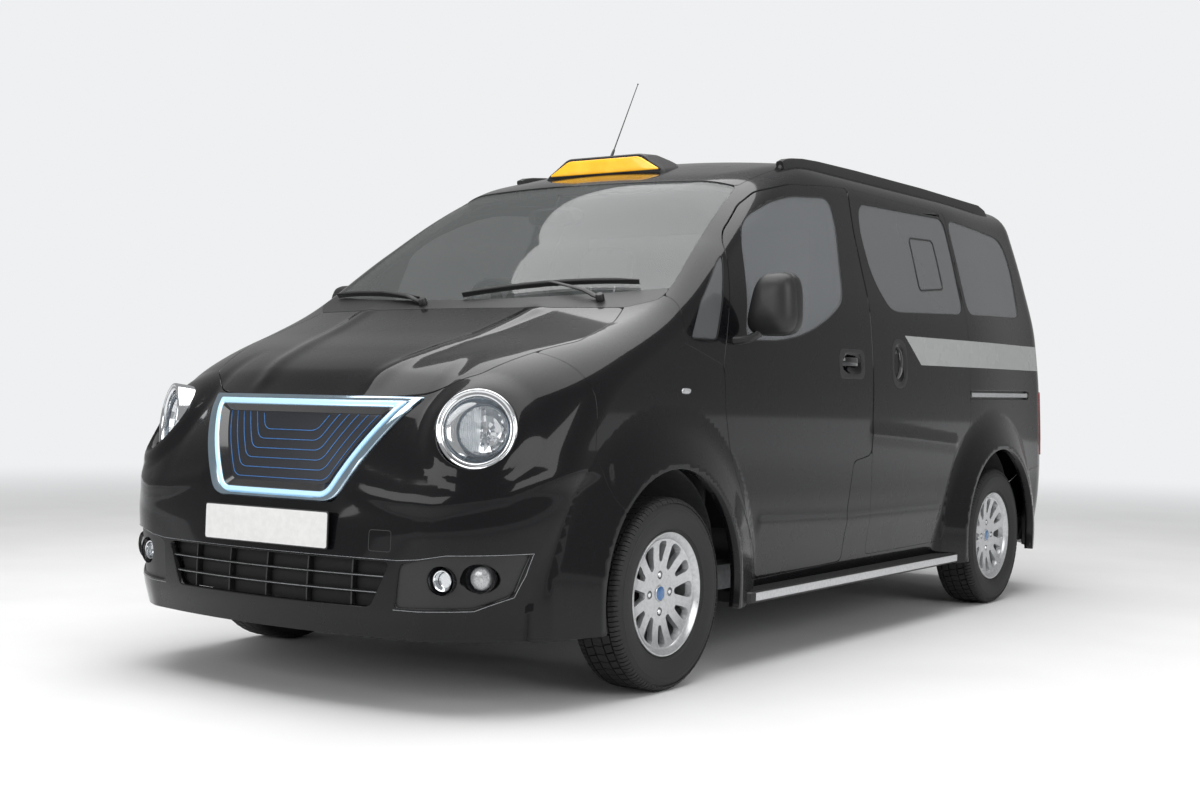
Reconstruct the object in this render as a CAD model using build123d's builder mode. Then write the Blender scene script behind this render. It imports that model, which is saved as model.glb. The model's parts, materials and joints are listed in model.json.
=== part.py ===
from build123d import *
from functools import cache
from math import atan2, cos, degrees, dist, radians, sin
import os

# A compact high-roofed taxi cab. Millimetres, +Z up, the nose faces -Y and the cab's left side is +X.
# The origin is on the ground, at the middle of the cab's length and width.
# Stations named "d" in the tables are measured rearwards from the front axle.

os.makedirs("parts", exist_ok=True)

# ---------------------------------------------------------------- driving sizes
wheelbase = 2725.0
nose_to_tail = 4462.0          # overall length
front_axle_y = -1365.0
half_width = 848.0             # body side at its widest, without the arch flares
sill_z = 215.0                 # lowest edge of the painted body
roof_z = 1845.0                # crown of the roof
wall = 42.0                    # doors, side walls and roof, skin to trim
gap = 6.0                      # shut line around a piece that opens
seam = 0.6                     # line between two fixed panels
glass_setback = 4.0            # glass lies this far inside the skin
glass_thickness = 5.0
glass_clearance = 0.3          # glass to the frame that holds it
bow_station = 2160.0           # centre of the bow of bonnet, windscreen and roof front

tyre_radius = 300.0
tyre_width = 175.0
rim_radius = 184.0             # bead seat
rim_lip_radius = 193.0
front_half_track = 800.0
rear_half_track = 780.0
arch_radius = 392.0
hub_clearance = 0.05           # running fit of a hub on its spindle

rear_axle_y = front_axle_y + wheelbase


def at(d):
    """Station d behind the front axle, as a Y coordinate."""
    return front_axle_y + d


# ---------------------------------------------------------------- body form
# Plan outline of the body at each height:
# z, nose centre d, nose corner x and d, half width, d where the side starts,
# tail half width and d where the tail corner starts, tail corner x and d, tail centre d
body_levels = [
    (sill_z, -850, 560, -790, 803, -450, 770, 3330, 560, 3566, 3580),
    (300, -866, 560, -806, 815, -470, 790, 3370, 590, 3578, 3592),
    (500, -850, 560, -808, 839, -480, 805, 3400, 600, 3586, nose_to_tail - 866),
    (585, -836, 540, -806, 843, -470, 808, 3400, 600, 3584, 3595),
    (905, -724, 470, -640, half_width, -270, 806, 3380, 600, 3574, 3588),
    (1190, -330, 470, -200, 832, 260, 790, 3350, 570, 3560, 3575),
    (1450, 60, 500, 200, 770, 600, 735, 3330, 540, 3525, 3540),
    (1700, 480, 480, 640, 696, 1120, 668, 3300, 500, 3480, 3500),
    (1900, 700, 440, 900, 640, 1500, 610, 3260, 480, 3440, 3460),
]
taper_station = 2700.0         # the sides are straight as far as this

# Centre line of bonnet, windscreen and roof front, from the nose back: (d, z)
bonnet_line = [(-740, 885), (-608, 982), (-448, 1046), (-250, 1112), (-48, 1200)]
screen_top = (658, 1685)
roof_front = [(860, 1750), (1420, roof_z + 10)]
roof_rear = [(2700, roof_z + 6), (3150, 1837), (3490, 1775), (3640, 1500)]
roof_side = [(600, 1806), (672, 1764), (700, 1690)]      # crown and cant above the doors: x, z
body_reach = 1100.0            # further out than the bumper and the sides
above = 2200.0                 # higher than the roof


def moved_in(line, inset):
    """The points of a line, each moved to the right of the way the line runs."""
    points = [Vector(*p) for p in line]
    ends = zip([points[0]] + points[:-1], points, points[1:] + [points[-1]])
    return [tuple(here + (after - before).normalized().rotate(Axis.Z, -90) * inset)[:2]
            for before, here, after in ends]


@cache
def body_form(inset):
    """The closed outer form of the body, with every face moved inwards by inset."""
    with BuildPart() as form:
        for z, nose, nose_x, nose_d, half, side_d, tail_half, tail_d, tail_x, tail_cd, tail in body_levels:
            with BuildSketch(Plane.XY.offset(z)):
                with BuildLine():
                    front = Vector(nose_x - 0.4 * inset, at(nose_d) + inset)
                    wing = Vector(half - inset, at(side_d) + 0.4 * inset)
                    taper = Vector(half - inset, at(taper_station))
                    quarter = Vector(tail_half - inset, at(tail_d))
                    rear = Vector(tail_x - 0.4 * inset, at(tail_cd) - inset)
                    for side in (1, -1):
                        TangentArc((side * wing.X, wing.Y), (side * front.X, front.Y), tangent=(0, -1))
                        Line((side * wing.X, wing.Y), (side * taper.X, taper.Y))
                        Line((side * taper.X, taper.Y), (side * quarter.X, quarter.Y))
                        TangentArc((side * quarter.X, quarter.Y), (side * rear.X, rear.Y), tangent=(0, 1))
                    ThreePointArc((front.X, front.Y), (0, at(nose) + inset), (-front.X, front.Y))
                    ThreePointArc((rear.X, rear.Y), (0, at(tail) - inset), (-rear.X, rear.Y))
                make_face()
        loft(ruled=True)
    with BuildPart() as over_front:
        with BuildSketch(Plane.XZ.offset(-at(bow_station))):
            with BuildLine():
                line = [(d - bow_station, z) for d, z in bonnet_line + [screen_top] + roof_front]
                line = moved_in(line, inset)
                ThreePointArc(*line[:3])
                ThreePointArc(*line[2:5])
                Line(line[4], line[5])
                ThreePointArc(*line[5:])
                edge = -body_reach - bow_station
                Polyline(line[-1], (line[-1][0], above), (edge, above), (edge, line[0][1]), line[0])
            make_face()
        revolve(axis=Axis((0, at(bow_station), 0), (0, 0, 1)), revolution_arc=180)
    with BuildPart() as over_tail:
        with BuildSketch(Plane.YZ):
            with BuildLine():
                rear = moved_in([(at(d), z) for d, z in roof_rear], inset)
                edge = rear[-1][0] + body_reach
                ThreePointArc(*rear[:3])
                Polyline(rear[2], rear[3], (rear[3][0], 0), (edge, 0), (edge, above), (rear[0][0], above), rear[0])
            make_face()
        extrude(amount=body_reach, both=True)
    with BuildPart() as hoop:
        with BuildSketch(Plane.XZ.offset(-at(-2 * body_reach))):
            with BuildLine():
                right = moved_in([(0, roof_z)] + roof_side, inset)
                left = [(-x, z) for x, z in right]
                ThreePointArc(left[1], right[0], right[1])
                ThreePointArc(*right[1:])
                ThreePointArc(*left[1:])
                corner = (body_reach, 1200)
                Polyline(right[-1], corner, (body_reach, 0), (-body_reach, 0), (-body_reach, 1200), left[-1])
            make_face()
        extrude(amount=-3 * wheelbase)
    return (form.part & hoop.part) - over_front.part - over_tail.part


# ---------------------------------------------------------------- panel outlines
# Side view outlines of the left side: (d, z)
door_outline = [
    (586, 284), (519, 534), (414, 725), (378, 861), (366, 1015), (478, 1422), (531, 1476), (700, 1584),
    (837, 1646), (1063, 1696), (1374, 1725), (1557, 1734), (1509, 1552), (1490, 1219), (1487, 693),
    (1335, 672), (1299, 493), (1299, 296),
]
door_window = [(520, 1132), (596, 1478), (690, 1548), (886, 1618), (1062, 1655), (1368, 1680), (1380, 1600),
               (1285, 1309), (1202, 1262), (965, 1178)]
slider_outline = [
    (1500, 305), (1493, 700), (1496, 1219), (1515, 1552), (1563, 1734), (2500, 1724), (2455, 1312),
    (2452, 955), (2467, 795), (2312, 690), (2225, 543), (2216, 394), (2183, 309),
]
slider_window = [(1622, 1686), (1566, 1556), (1583, 1384), (1664, 1276), (1735, 1250), (2425, 1272), (2462, 1704)]
quarter_window = [(2525, 1704), (2932, 1688), (3160, 1674), (3222, 1620), (3240, 1506), (3206, 1308), (3165, 1290),
                  (2484, 1274)]
quarterlight = [(165, 1096), (330, 1096), (452, 1395), (400, 1362), (236, 1215)]
wing_outline = [
    (-250, 100), (-250, 560), (-300, 600), (-362, 739), (-352, 900), (-385, 1060), (-385, 1300), (135, 1300),
    (150, 1230), (115, 1085), (366, 1015), (378, 861), (414, 725), (519, 534), (586, 284), (586, 100),
]
clip_outline = [
    (-body_reach, 100), (-250, 100), (-250, 560), (-300, 600), (-362, 739), (-352, 900), (-385, 1060),
    (-385, 1300), (-body_reach, 1300),
]
rear_bumper_outline = [(3180, 100), (3180, 560), (3400, 590), (4000, 590), (4000, 100)]

# Plan view outlines: x and d of the right-hand half as seen from above the nose
bonnet_half = [(435, -640), (560, -548), (640, -367), (700, -253), (700, -64), (665, 38)]
bonnet_lead, bonnet_tail = -718, -62
cowl_half = [(665, 38), (745, 120), (745, 190)]
cowl_tail = -2
screen_half = [(745, 190), (628, 800)]
screen_head = 662
roof_half = [(628, 800), (622, 1100), (610, 3340), (560, 3620)]
roof_tail = 3640
bonnet_foot = 870.0             # the upright cuts around the bonnet and screen start at this height
roof_foot = 1500.0
lamp_station, lamp_inner, lamp_foot, lamp_head = 3440.0, 712.0, 642.0, 945.0     # tail lamp corner

# Rear view outlines: x, z of one half
tailgate_station = 3300.0
tailgate_half = [(600, 486), (690, 560), (705, 1000), (690, 1290), (600, 1690), (520, 1742)]
tailgate_window_half = [(560, 1165), (600, 1200), (520, 1610), (470, 1650)]


def side_region(outline, grow=0.0, radius=0.0):
    """A prism through the left side of the body over a side view outline."""
    with BuildPart() as region:
        with BuildSketch(Plane.YZ):
            with BuildLine():
                Polyline(*[(at(d), z) for d, z in outline], close=True)
            make_face()
            if radius:
                fillet(vertices(), radius)
            if grow:
                offset(amount=grow, kind=Kind.INTERSECTION)
        extrude(amount=body_reach)
    return region.part


def plan_region(half, lead, tail, bottom, grow=0.0):
    """An upright prism over a symmetric plan outline with a bowed front and rear edge."""
    with BuildPart() as region:
        with BuildSketch(Plane.XY.offset(bottom)):
            with BuildLine():
                right = [(x, at(d)) for x, d in half]
                left = [(-x, y) for x, y in right]
                Polyline(*right)
                Polyline(*left)
                ThreePointArc(right[0], (0, at(lead)), left[0])
                ThreePointArc(right[-1], (0, at(tail)), left[-1])
            make_face()
            if grow:
                offset(amount=grow)
        extrude(amount=above - bottom)
    return region.part


def rear_region(half, grow=0.0):
    """A prism along the cab over a symmetric rear view outline, from the last side window back."""
    with BuildPart() as region:
        with BuildSketch(Plane.XZ.offset(-at(tailgate_station))):
            with BuildLine():
                Polyline(*half, *[(-x, z) for x, z in reversed(half)], close=True)
            make_face()
            if grow:
                offset(amount=grow, kind=Kind.INTERSECTION)
        extrude(amount=-body_reach)
    return region.part


# ---------------------------------------------------------------- painted shell, arches and wheel wells
flare_reach = 46.0             # the arch lip stands this far out from the body side
flare_spread = {"front": 575.0, "rear": 548.0}
arch_centre_d = {"front": 24.0, "rear": wheelbase + 10}
well_depth = 500.0             # inner face of a wheel well from the middle of the cab


def arch_axis(end):
    return Axis((0, at(arch_centre_d[end]), tyre_radius), (1, 0, 0))


with BuildPart() as flares:
    for end in ("front", "rear"):
        with BuildSketch(Plane.XY.offset(tyre_radius)):
            with BuildLine():
                lip = at(arch_centre_d[end]) + arch_radius - 8
                skirt = at(arch_centre_d[end]) + flare_spread[end]
                out = half_width + flare_reach
                Polyline((half_width - wall, lip), (out, lip), (out, lip + 22), (half_width - 12, skirt),
                         (half_width - wall, skirt), close=True)
            make_face()
        revolve(axis=arch_axis(end))
    with Locations((0, 0, sill_z)):
        Box(4 * half_width, 3 * wheelbase, 2 * wheelbase, align=(Align.CENTER, Align.CENTER, Align.MAX),
            mode=Mode.SUBTRACT)
    mirror(about=Plane.YZ)

with BuildPart() as shell:
    add(body_form(0))
    add(flares.part)
    add(body_form(wall), mode=Mode.SUBTRACT)
    for end in ("front", "rear"):
        with BuildSketch(Plane.YZ.offset(well_depth)):
            with Locations((at(arch_centre_d[end]), tyre_radius)):
                Circle(arch_radius)
        extrude(amount=body_reach, mode=Mode.SUBTRACT)
        with BuildSketch(Plane.YZ.offset(-well_depth)):
            with Locations((at(arch_centre_d[end]), tyre_radius)):
                Circle(arch_radius)
        extrude(amount=-body_reach, mode=Mode.SUBTRACT)

with BuildPart() as glass_shell:
    add(body_form(glass_setback))
    add(body_form(glass_setback + glass_thickness), mode=Mode.SUBTRACT)


def finish(name, part):
    """Name a finished piece and write it."""
    part.label = name
    export_step(part, f"parts/{name}.step")


# ---------------------------------------------------------------- tail lamps' corner, lamp axes, hinge barrels
with BuildPart() as lamp_corner:
    with BuildSketch(Plane.XZ.offset(-at(lamp_station))):
        with Locations(((lamp_inner + body_reach) / 2, (lamp_foot + lamp_head) / 2)):
            Rectangle(body_reach - lamp_inner, lamp_head - lamp_foot)
    extrude(amount=-body_reach)

hinge_radius = 7.0
hinge_length = 28.0
hinge_leaf = 44.0
hinge_slack = 0.3              # between the two barrels of a hinge
hinge_room = 5.0               # around the barrel of the other piece
hinge_pitch = hinge_length + hinge_slack


def hinge_barrel(start, direction, leaf_way, leaf_depth):
    """A hinge barrel from start along direction, with a leaf leaf_way to the panel that carries it."""
    plane = Plane(origin=start, x_dir=leaf_way, z_dir=direction)
    with BuildPart() as barrel:
        with BuildSketch(plane):
            Circle(hinge_radius)
            with Locations((leaf_depth / 2, 0)):
                Rectangle(leaf_depth, 2 * hinge_radius)
        extrude(amount=hinge_length)
    return barrel.part


def hinge_pocket(start, direction):
    """Room for the barrel of the other piece, past its end as well."""
    with BuildPart() as pocket:
        with BuildSketch(Plane(origin=start, z_dir=direction).offset(-hinge_slack)):
            Rectangle(2 * (hinge_radius + hinge_room), 2 * (hinge_radius + hinge_room))
        extrude(amount=hinge_length + hinge_slack + hinge_room)
    return pocket.part


# ---------------------------------------------------------------- bonnet, cowl, screen, roof
bonnet_hinge = (560.0, 20.0, 1197.0)         # x of the left barrel, station and height of the axis


tailgate_hinge = (250.0, 3495.0, 1727.0)


def tailgate_hinge_point(side, further=0.0):
    return side * (tailgate_hinge[0] + further), at(tailgate_hinge[1]), tailgate_hinge[2]


def bonnet_hinge_point(side, further=0.0):
    return side * (bonnet_hinge[0] + further), at(bonnet_hinge[1]), bonnet_hinge[2]



with BuildPart() as bonnet:
    add(shell.part)
    add(plan_region(bonnet_half, bonnet_lead, bonnet_tail, bonnet_foot, -gap / 2), mode=Mode.INTERSECT)
    for side in (1, -1):
        add(hinge_pocket(bonnet_hinge_point(side), (side, 0, 0)), mode=Mode.SUBTRACT)
        add(hinge_barrel(bonnet_hinge_point(side, hinge_pitch), (side, 0, 0), (0, -1, 0), hinge_leaf))
finish("bonnet", bonnet.part)

with BuildPart() as cowl:
    add(shell.part)
    add(plan_region(cowl_half, bonnet_tail, cowl_tail, bonnet_foot, -seam / 2), mode=Mode.INTERSECT)
    add(plan_region(bonnet_half, bonnet_lead, bonnet_tail, bonnet_foot, gap / 2), mode=Mode.SUBTRACT)
    for side in (1, -1):
        add(hinge_pocket(bonnet_hinge_point(side, hinge_pitch), (side, 0, 0)), mode=Mode.SUBTRACT)
        add(hinge_barrel(bonnet_hinge_point(side), (side, 0, 0), (0, 1, 0), hinge_leaf))
finish("cowl", cowl.part)

with BuildPart() as windscreen:
    add(glass_shell.part)
    add(plan_region(screen_half, cowl_tail, screen_head, bonnet_foot, -glass_clearance), mode=Mode.INTERSECT)
finish("windscreen", windscreen.part)

with BuildPart() as roof_panel:
    add(shell.part)
    add(plan_region(roof_half, screen_head, roof_tail, roof_foot, -seam / 2), mode=Mode.INTERSECT)
    add(rear_region(tailgate_half, gap / 2), mode=Mode.SUBTRACT)
    for side in (1, -1):
        add(hinge_barrel(tailgate_hinge_point(side), (side, 0, 0), (0, 0, 1), hinge_leaf))
        with Locations(tailgate_hinge_point(side)):
            with Locations((side * hinge_length / 2, 0, hinge_leaf)):
                Box(hinge_length, 3 * hinge_leaf / 2, 3 * hinge_radius, align=(Align.CENTER, Align.MAX, Align.MAX))
finish("roof_panel", roof_panel.part)

# ---------------------------------------------------------------- round headlamps
lamp_at = (652.0, -672.0, 811.0)             # middle of the lens rim: x, d, z
lamp_yaw, lamp_pitch = 28.0, 9.0
lamp_radius = 119.0
lamp_rim = 20.0                              # width of the bright ring
lamp_depth = 95.0
lamp_fit = 0.4
yaw, pitch = radians(lamp_yaw), radians(lamp_pitch)
lamp_plane = Plane(origin=(lamp_at[0], at(lamp_at[1]), lamp_at[2]), x_dir=(cos(yaw), sin(yaw), 0),
                   z_dir=(sin(yaw) * cos(pitch), -cos(yaw) * cos(pitch), sin(pitch)))

with BuildPart() as headlamp_rings:
    with BuildSketch(lamp_plane.offset(-lamp_depth)):
        Circle(lamp_radius)
        Circle(lamp_radius - lamp_rim, mode=Mode.SUBTRACT)
    extrude(amount=lamp_depth + 6)
    fillet(faces().sort_by(Axis(lamp_plane.origin, lamp_plane.z_dir))[-1].edges(), 5)
    mirror(about=Plane.YZ)
finish("headlamp_rings", headlamp_rings.part)

with BuildPart() as headlamp_bowls:
    with BuildSketch(lamp_plane.offset(-lamp_depth)):
        Circle(lamp_radius - lamp_rim - lamp_fit)
    extrude(amount=lamp_depth - 25)
    with BuildSketch(lamp_plane.offset(-25)):
        Circle(lamp_radius - lamp_rim - lamp_fit - 6)
    extrude(amount=-40, taper=20, mode=Mode.SUBTRACT)
    mirror(about=Plane.YZ)
finish("headlamp_bowls", headlamp_bowls.part)

with BuildPart() as headlamp_lenses:
    with BuildSketch(lamp_plane.offset(-25 + lamp_fit)):
        Circle(lamp_radius - lamp_rim - lamp_fit)
    extrude(amount=25)
    with BuildSketch(lamp_plane.offset(-25 + lamp_fit)):
        Circle(lamp_radius - lamp_rim - 7)
    extrude(amount=20, mode=Mode.SUBTRACT)
    fillet(faces().sort_by(Axis(lamp_plane.origin, lamp_plane.z_dir))[-1].edges(), 4)
    mirror(about=Plane.YZ)
finish("headlamp_lenses", headlamp_lenses.part)

# ---------------------------------------------------------------- grille, lower grille, fog lamps, front clip
frame_proud, frame_back = -8.0, 20.0         # bright grille frame, out of and into the skin
panel_front, panel_back = 26.0, 38.0         # dark panel behind it
frame_half = [(438, 898), (251, 590)]        # x and z of the frame's outer corners
frame_width = 30.0
lower_half = [(468, 436), (404, 300)]        # lower opening
slat_z = [345.0, 391.0]
slat_thickness = 9.0
rib_x = [-300.0, -100.0, 100.0, 300.0]
fog_pocket = [(492, 430), (640, 462), (812, 468), (775, 345), (700, 310), (480, 304)]
fog_lamps_at = [(622.0, 388.0), (716.0, 396.0)]       # x and z of the two round lamps on the left
fog_radius = 44.0


def front_region(outline, grow=0.0):
    """A prism through the nose over a front view outline of x and z points."""
    with BuildPart() as region:
        with BuildSketch(Plane.XZ.offset(-at(-body_reach))):
            with BuildLine():
                Polyline(*outline, close=True)
            make_face()
            if grow:
                offset(amount=grow, kind=Kind.INTERSECTION)
        extrude(amount=-(body_reach - 350))
    return region.part


def both_halves(half):
    return half + [(-x, z) for x, z in reversed(half)]


@cache
def slab(front, back):
    """The layer between two insets from the outer skin."""
    return body_form(front) - body_form(back)


frame_outline, lower_outline = both_halves(frame_half), both_halves(lower_half)
bonnet_room = plan_region(bonnet_half, bonnet_lead, bonnet_tail, bonnet_foot, gap)

with BuildPart() as left_clip:
    add(shell.part)
    add(side_region(clip_outline, -seam / 2), mode=Mode.INTERSECT)
    add(front_region(fog_pocket), mode=Mode.SUBTRACT)
    with BuildSketch(lamp_plane.offset(-2 * lamp_depth)):
        Circle(lamp_radius + lamp_fit)
    extrude(amount=3 * lamp_depth, mode=Mode.SUBTRACT)
with BuildPart() as front_clip:
    add(left_clip.part)
    mirror(about=Plane.YZ)
    add(plan_region(bonnet_half, bonnet_lead, bonnet_tail, bonnet_foot, gap / 2), mode=Mode.SUBTRACT)
    add(front_region(frame_outline), mode=Mode.SUBTRACT)
    add(front_region(lower_outline), mode=Mode.SUBTRACT)
finish("front_clip", front_clip.part)

with BuildPart() as grille_frame:
    add(slab(frame_proud, frame_back))
    add(front_region(frame_outline, -lamp_fit), mode=Mode.INTERSECT)
    add(front_region(frame_outline, -frame_width), mode=Mode.SUBTRACT)
    add(bonnet_room, mode=Mode.SUBTRACT)
finish("grille_frame", grille_frame.part)

with BuildPart() as grille_panel:
    add(slab(frame_back, panel_back))
    add(front_region(frame_outline, -lamp_fit), mode=Mode.INTERSECT)
    add(bonnet_room, mode=Mode.SUBTRACT)
finish("grille_panel", grille_panel.part)

with BuildPart() as lower_grille:
    with BuildPart(mode=Mode.PRIVATE) as bars:
        for z in slat_z:
            with Locations((0, at(-body_reach / 2), z)):
                Box(2 * body_reach, body_reach * 1.4, slat_thickness)
        for x in rib_x:
            with Locations((x, at(-body_reach / 2), slat_z[0])):
                Box(slat_thickness, body_reach * 1.4, 4 * wall)
    add(slab(6, panel_back))
    add(bars.part, mode=Mode.INTERSECT)
    add(slab(panel_back - 8, panel_back))
    add(front_region(lower_outline, -lamp_fit), mode=Mode.INTERSECT)
finish("lower_grille", lower_grille.part)

fog_end = -560.0                             # the lamps end at this station

with BuildPart() as left_fog:
    add(slab(18, panel_back))
    add(front_region(fog_pocket, -lamp_fit), mode=Mode.INTERSECT)
    for x, z in fog_lamps_at:
        with BuildSketch(Plane.XZ.offset(-at(-body_reach))):
            with Locations((x, z)):
                Circle(fog_radius + lamp_fit)
        extrude(amount=-body_reach - fog_end, mode=Mode.SUBTRACT)
with BuildPart() as fog_housings:
    add(left_fog.part)
    mirror(about=Plane.YZ)
finish("fog_housings", fog_housings.part)

with BuildPart() as fog_lamps:
    add(slab(6, wall))
    with BuildPart(mode=Mode.INTERSECT):
        for x, z in fog_lamps_at:
            with BuildSketch(Plane.XZ.offset(-at(-body_reach))):
                with Locations((x, z)):
                    Circle(fog_radius)
            extrude(amount=-body_reach - fog_end)
    mirror(about=Plane.YZ)
finish("fog_lamps", fog_lamps.part)

# ---------------------------------------------------------------- front wings
door_hinge = (half_width + 1, 381.0)         # x and station of the upright hinge axis
door_hinge_z = [790.0, 930.0]                # foot of each hinge


def door_hinge_point(z):
    return door_hinge[0], at(door_hinge[1]), z


with BuildPart() as left_wing:
    add(shell.part)
    add(side_region(wing_outline, -seam / 2), mode=Mode.INTERSECT)
    add(side_region(door_outline, gap / 2), mode=Mode.SUBTRACT)
    add(side_region(quarterlight, seam), mode=Mode.SUBTRACT)
    add(plan_region(bonnet_half, bonnet_lead, bonnet_tail, bonnet_foot, gap / 2), mode=Mode.SUBTRACT)
    add(plan_region(cowl_half, bonnet_tail, cowl_tail, bonnet_foot, seam / 2), mode=Mode.SUBTRACT)
    add(plan_region(screen_half, cowl_tail, screen_head, bonnet_foot), mode=Mode.SUBTRACT)
    for z in door_hinge_z:
        add(hinge_pocket(door_hinge_point(z + hinge_pitch), (0, 0, 1)), mode=Mode.SUBTRACT)
        add(hinge_barrel(door_hinge_point(z), (0, 0, 1), (0, -1, 0), hinge_leaf))
with BuildPart() as front_wings:
    add(left_wing.part)
    mirror(about=Plane.YZ)
finish("front_wings", front_wings.part)

# ---------------------------------------------------------------- doors
mirror_box = (172.0, 118.0, 215.0)           # width, depth and height of the mirror housing
mirror_at = (965.0, 486.0, 1222.0)           # its middle: x, d, z
mirror_foot_z = 1118.0
handle_at = (1310.0, 1038.0)                 # front door handle: d, z
handle_size = (150.0, 34.0)
slider_handle_at = (1735.0, 1048.0)
slider_handle_size = (34.0, 150.0)
handle_proud = 14.0


def bar_on_skin(place, size):
    """A pull handle that stands out of the left side around a side view point."""
    d, z = place
    half_long, half_high = size[0] / 2, size[1] / 2
    box = [(d - half_long, z - half_high), (d + half_long, z - half_high),
           (d + half_long, z + half_high), (d - half_long, z + half_high)]
    return slab(-handle_proud, wall) & side_region(box)


with BuildPart() as door_left:
    add(shell.part)
    add(side_region(door_outline, -gap / 2), mode=Mode.INTERSECT)
    add(side_region(door_window), mode=Mode.SUBTRACT)
    for z in door_hinge_z:
        add(hinge_pocket(door_hinge_point(z + hinge_length), (0, 0, -1)), mode=Mode.SUBTRACT)
        add(hinge_barrel(door_hinge_point(z + hinge_pitch), (0, 0, 1), (0, 1, 0), hinge_leaf))
    add(bar_on_skin(handle_at, handle_size))
finish("door_left", door_left.part)

with BuildPart() as mirror_left:
    with Locations((mirror_at[0], at(mirror_at[1]), mirror_at[2])):
        Box(*mirror_box)
    fillet(edges(), 26)
    with Locations((mirror_at[0], at(mirror_at[1]), mirror_foot_z)):
        Box(mirror_at[0] - half_width + wall, 70, 46, align=(Align.MAX, Align.CENTER, Align.CENTER))
    add(body_form(0), mode=Mode.SUBTRACT)
finish("mirror_left", mirror_left.part)

with BuildPart() as door_left_glass:
    add(glass_shell.part)
    add(side_region(door_window, -glass_clearance), mode=Mode.INTERSECT)
finish("door_left_glass", door_left_glass.part)

for name, source in (("door_right", door_left), ("door_right_glass", door_left_glass), ("mirror_right", mirror_left)):
    with BuildPart() as other_side:
        add(mirror(source.part, about=Plane.YZ, mode=Mode.PRIVATE))
    finish(name, other_side.part)

# ---------------------------------------------------------------- sliding doors and side frames
track_z, track_start, track_end, track_height, track_sunk = 928.0, 2462.0, 3262.0, 44.0, 14.0
track_box = [(track_start, track_z - track_height / 2), (track_end, track_z - track_height / 2),
             (track_end, track_z + track_height / 2), (track_start, track_z + track_height / 2)]

with BuildPart() as slider_left:
    add(shell.part)
    add(side_region(slider_outline, -seam / 2), mode=Mode.INTERSECT)
    add(side_region(slider_window), mode=Mode.SUBTRACT)
    add(bar_on_skin(slider_handle_at, slider_handle_size))
finish("slider_left", slider_left.part)

with BuildPart() as side_frame_left:
    add(shell.part)
    with Locations((seam / 2, 0, 0)):
        Box(body_reach, 2 * wheelbase, above, align=(Align.MIN, Align.CENTER, Align.MIN), mode=Mode.INTERSECT)
    for cut in (
        side_region(door_outline, gap / 2), side_region(slider_outline, seam / 2),
        side_region(wing_outline, seam / 2), side_region(clip_outline, seam / 2),
        side_region(rear_bumper_outline, seam / 2), side_region(quarter_window), side_region(quarterlight),
        plan_region(bonnet_half, bonnet_lead, bonnet_tail, bonnet_foot, gap / 2),
        plan_region(cowl_half, bonnet_tail, cowl_tail, bonnet_foot, seam / 2),
        plan_region(screen_half, cowl_tail, screen_head, bonnet_foot),
        plan_region(roof_half, screen_head, roof_tail, roof_foot, seam / 2),
        rear_region(tailgate_half, gap / 2), lamp_corner.part,
        side_region(track_box) & slab(-1, track_sunk),
    ):
        add(cut, mode=Mode.SUBTRACT)
finish("side_frame_left", side_frame_left.part)

for name, source in (("slider_right", slider_left), ("side_frame_right", side_frame_left)):
    with BuildPart() as other_side:
        add(mirror(source.part, about=Plane.YZ, mode=Mode.PRIVATE))
    finish(name, other_side.part)

with BuildPart() as left_panes:
    add(glass_shell.part)
    with BuildPart(mode=Mode.INTERSECT):
        for window in (slider_window, quarter_window, quarterlight):
            add(side_region(window, -glass_clearance))
with BuildPart() as side_glass:
    add(left_panes.part)
    mirror(about=Plane.YZ)
finish("side_glass", side_glass.part)

# ---------------------------------------------------------------- tail
plate_size = (520.0, 111.0, 6.0)
rear_plate_z = 700.0

with BuildPart() as tailgate:
    add(shell.part)
    add(rear_region(tailgate_half, -gap / 2), mode=Mode.INTERSECT)
    add(rear_region(tailgate_window_half), mode=Mode.SUBTRACT)
    for side in (1, -1):
        add(hinge_pocket(tailgate_hinge_point(side), (side, 0, 0)), mode=Mode.SUBTRACT)
        add(hinge_barrel(tailgate_hinge_point(side, hinge_pitch), (side, 0, 0), (0, 0, -1), hinge_leaf))
finish("tailgate", tailgate.part)

with BuildPart() as tailgate_glass:
    add(glass_shell.part)
    add(rear_region(tailgate_window_half, -glass_clearance), mode=Mode.INTERSECT)
finish("tailgate_glass", tailgate_glass.part)

with BuildPart() as left_bumper:
    add(shell.part)
    add(side_region(rear_bumper_outline, -seam / 2), mode=Mode.INTERSECT)
    add(lamp_corner.part, mode=Mode.SUBTRACT)
with BuildPart() as rear_bumper:
    add(left_bumper.part)
    mirror(about=Plane.YZ)
    add(rear_region(tailgate_half, gap / 2), mode=Mode.SUBTRACT)
finish("rear_bumper", rear_bumper.part)

with BuildPart() as tail_lamps:
    add(slab(-8, wall))
    add(offset(lamp_corner.part, amount=-seam, mode=Mode.PRIVATE), mode=Mode.INTERSECT)
    add(rear_region(tailgate_half, gap), mode=Mode.SUBTRACT)
    mirror(about=Plane.YZ)
finish("tail_lamps", tail_lamps.part)

# ---------------------------------------------------------------- plates
tail_station = nose_to_tail - 866            # rearmost point of the body
plate_lean = 1.6                             # degrees
front_plate_at = (-859.0, 512.0)             # station and height of its middle

with BuildPart() as front_plate:
    with Locations(Location((0, at(front_plate_at[0]), front_plate_at[1]), (90 - plate_lean, 0, 0))):
        Box(*plate_size)
        with Locations((0, 0, -plate_size[2])):
            Box(plate_size[0] * 0.9, plate_size[1] * 0.8, 5 * plate_size[2])
    add(body_form(0), mode=Mode.SUBTRACT)
finish("front_plate", front_plate.part)

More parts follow.
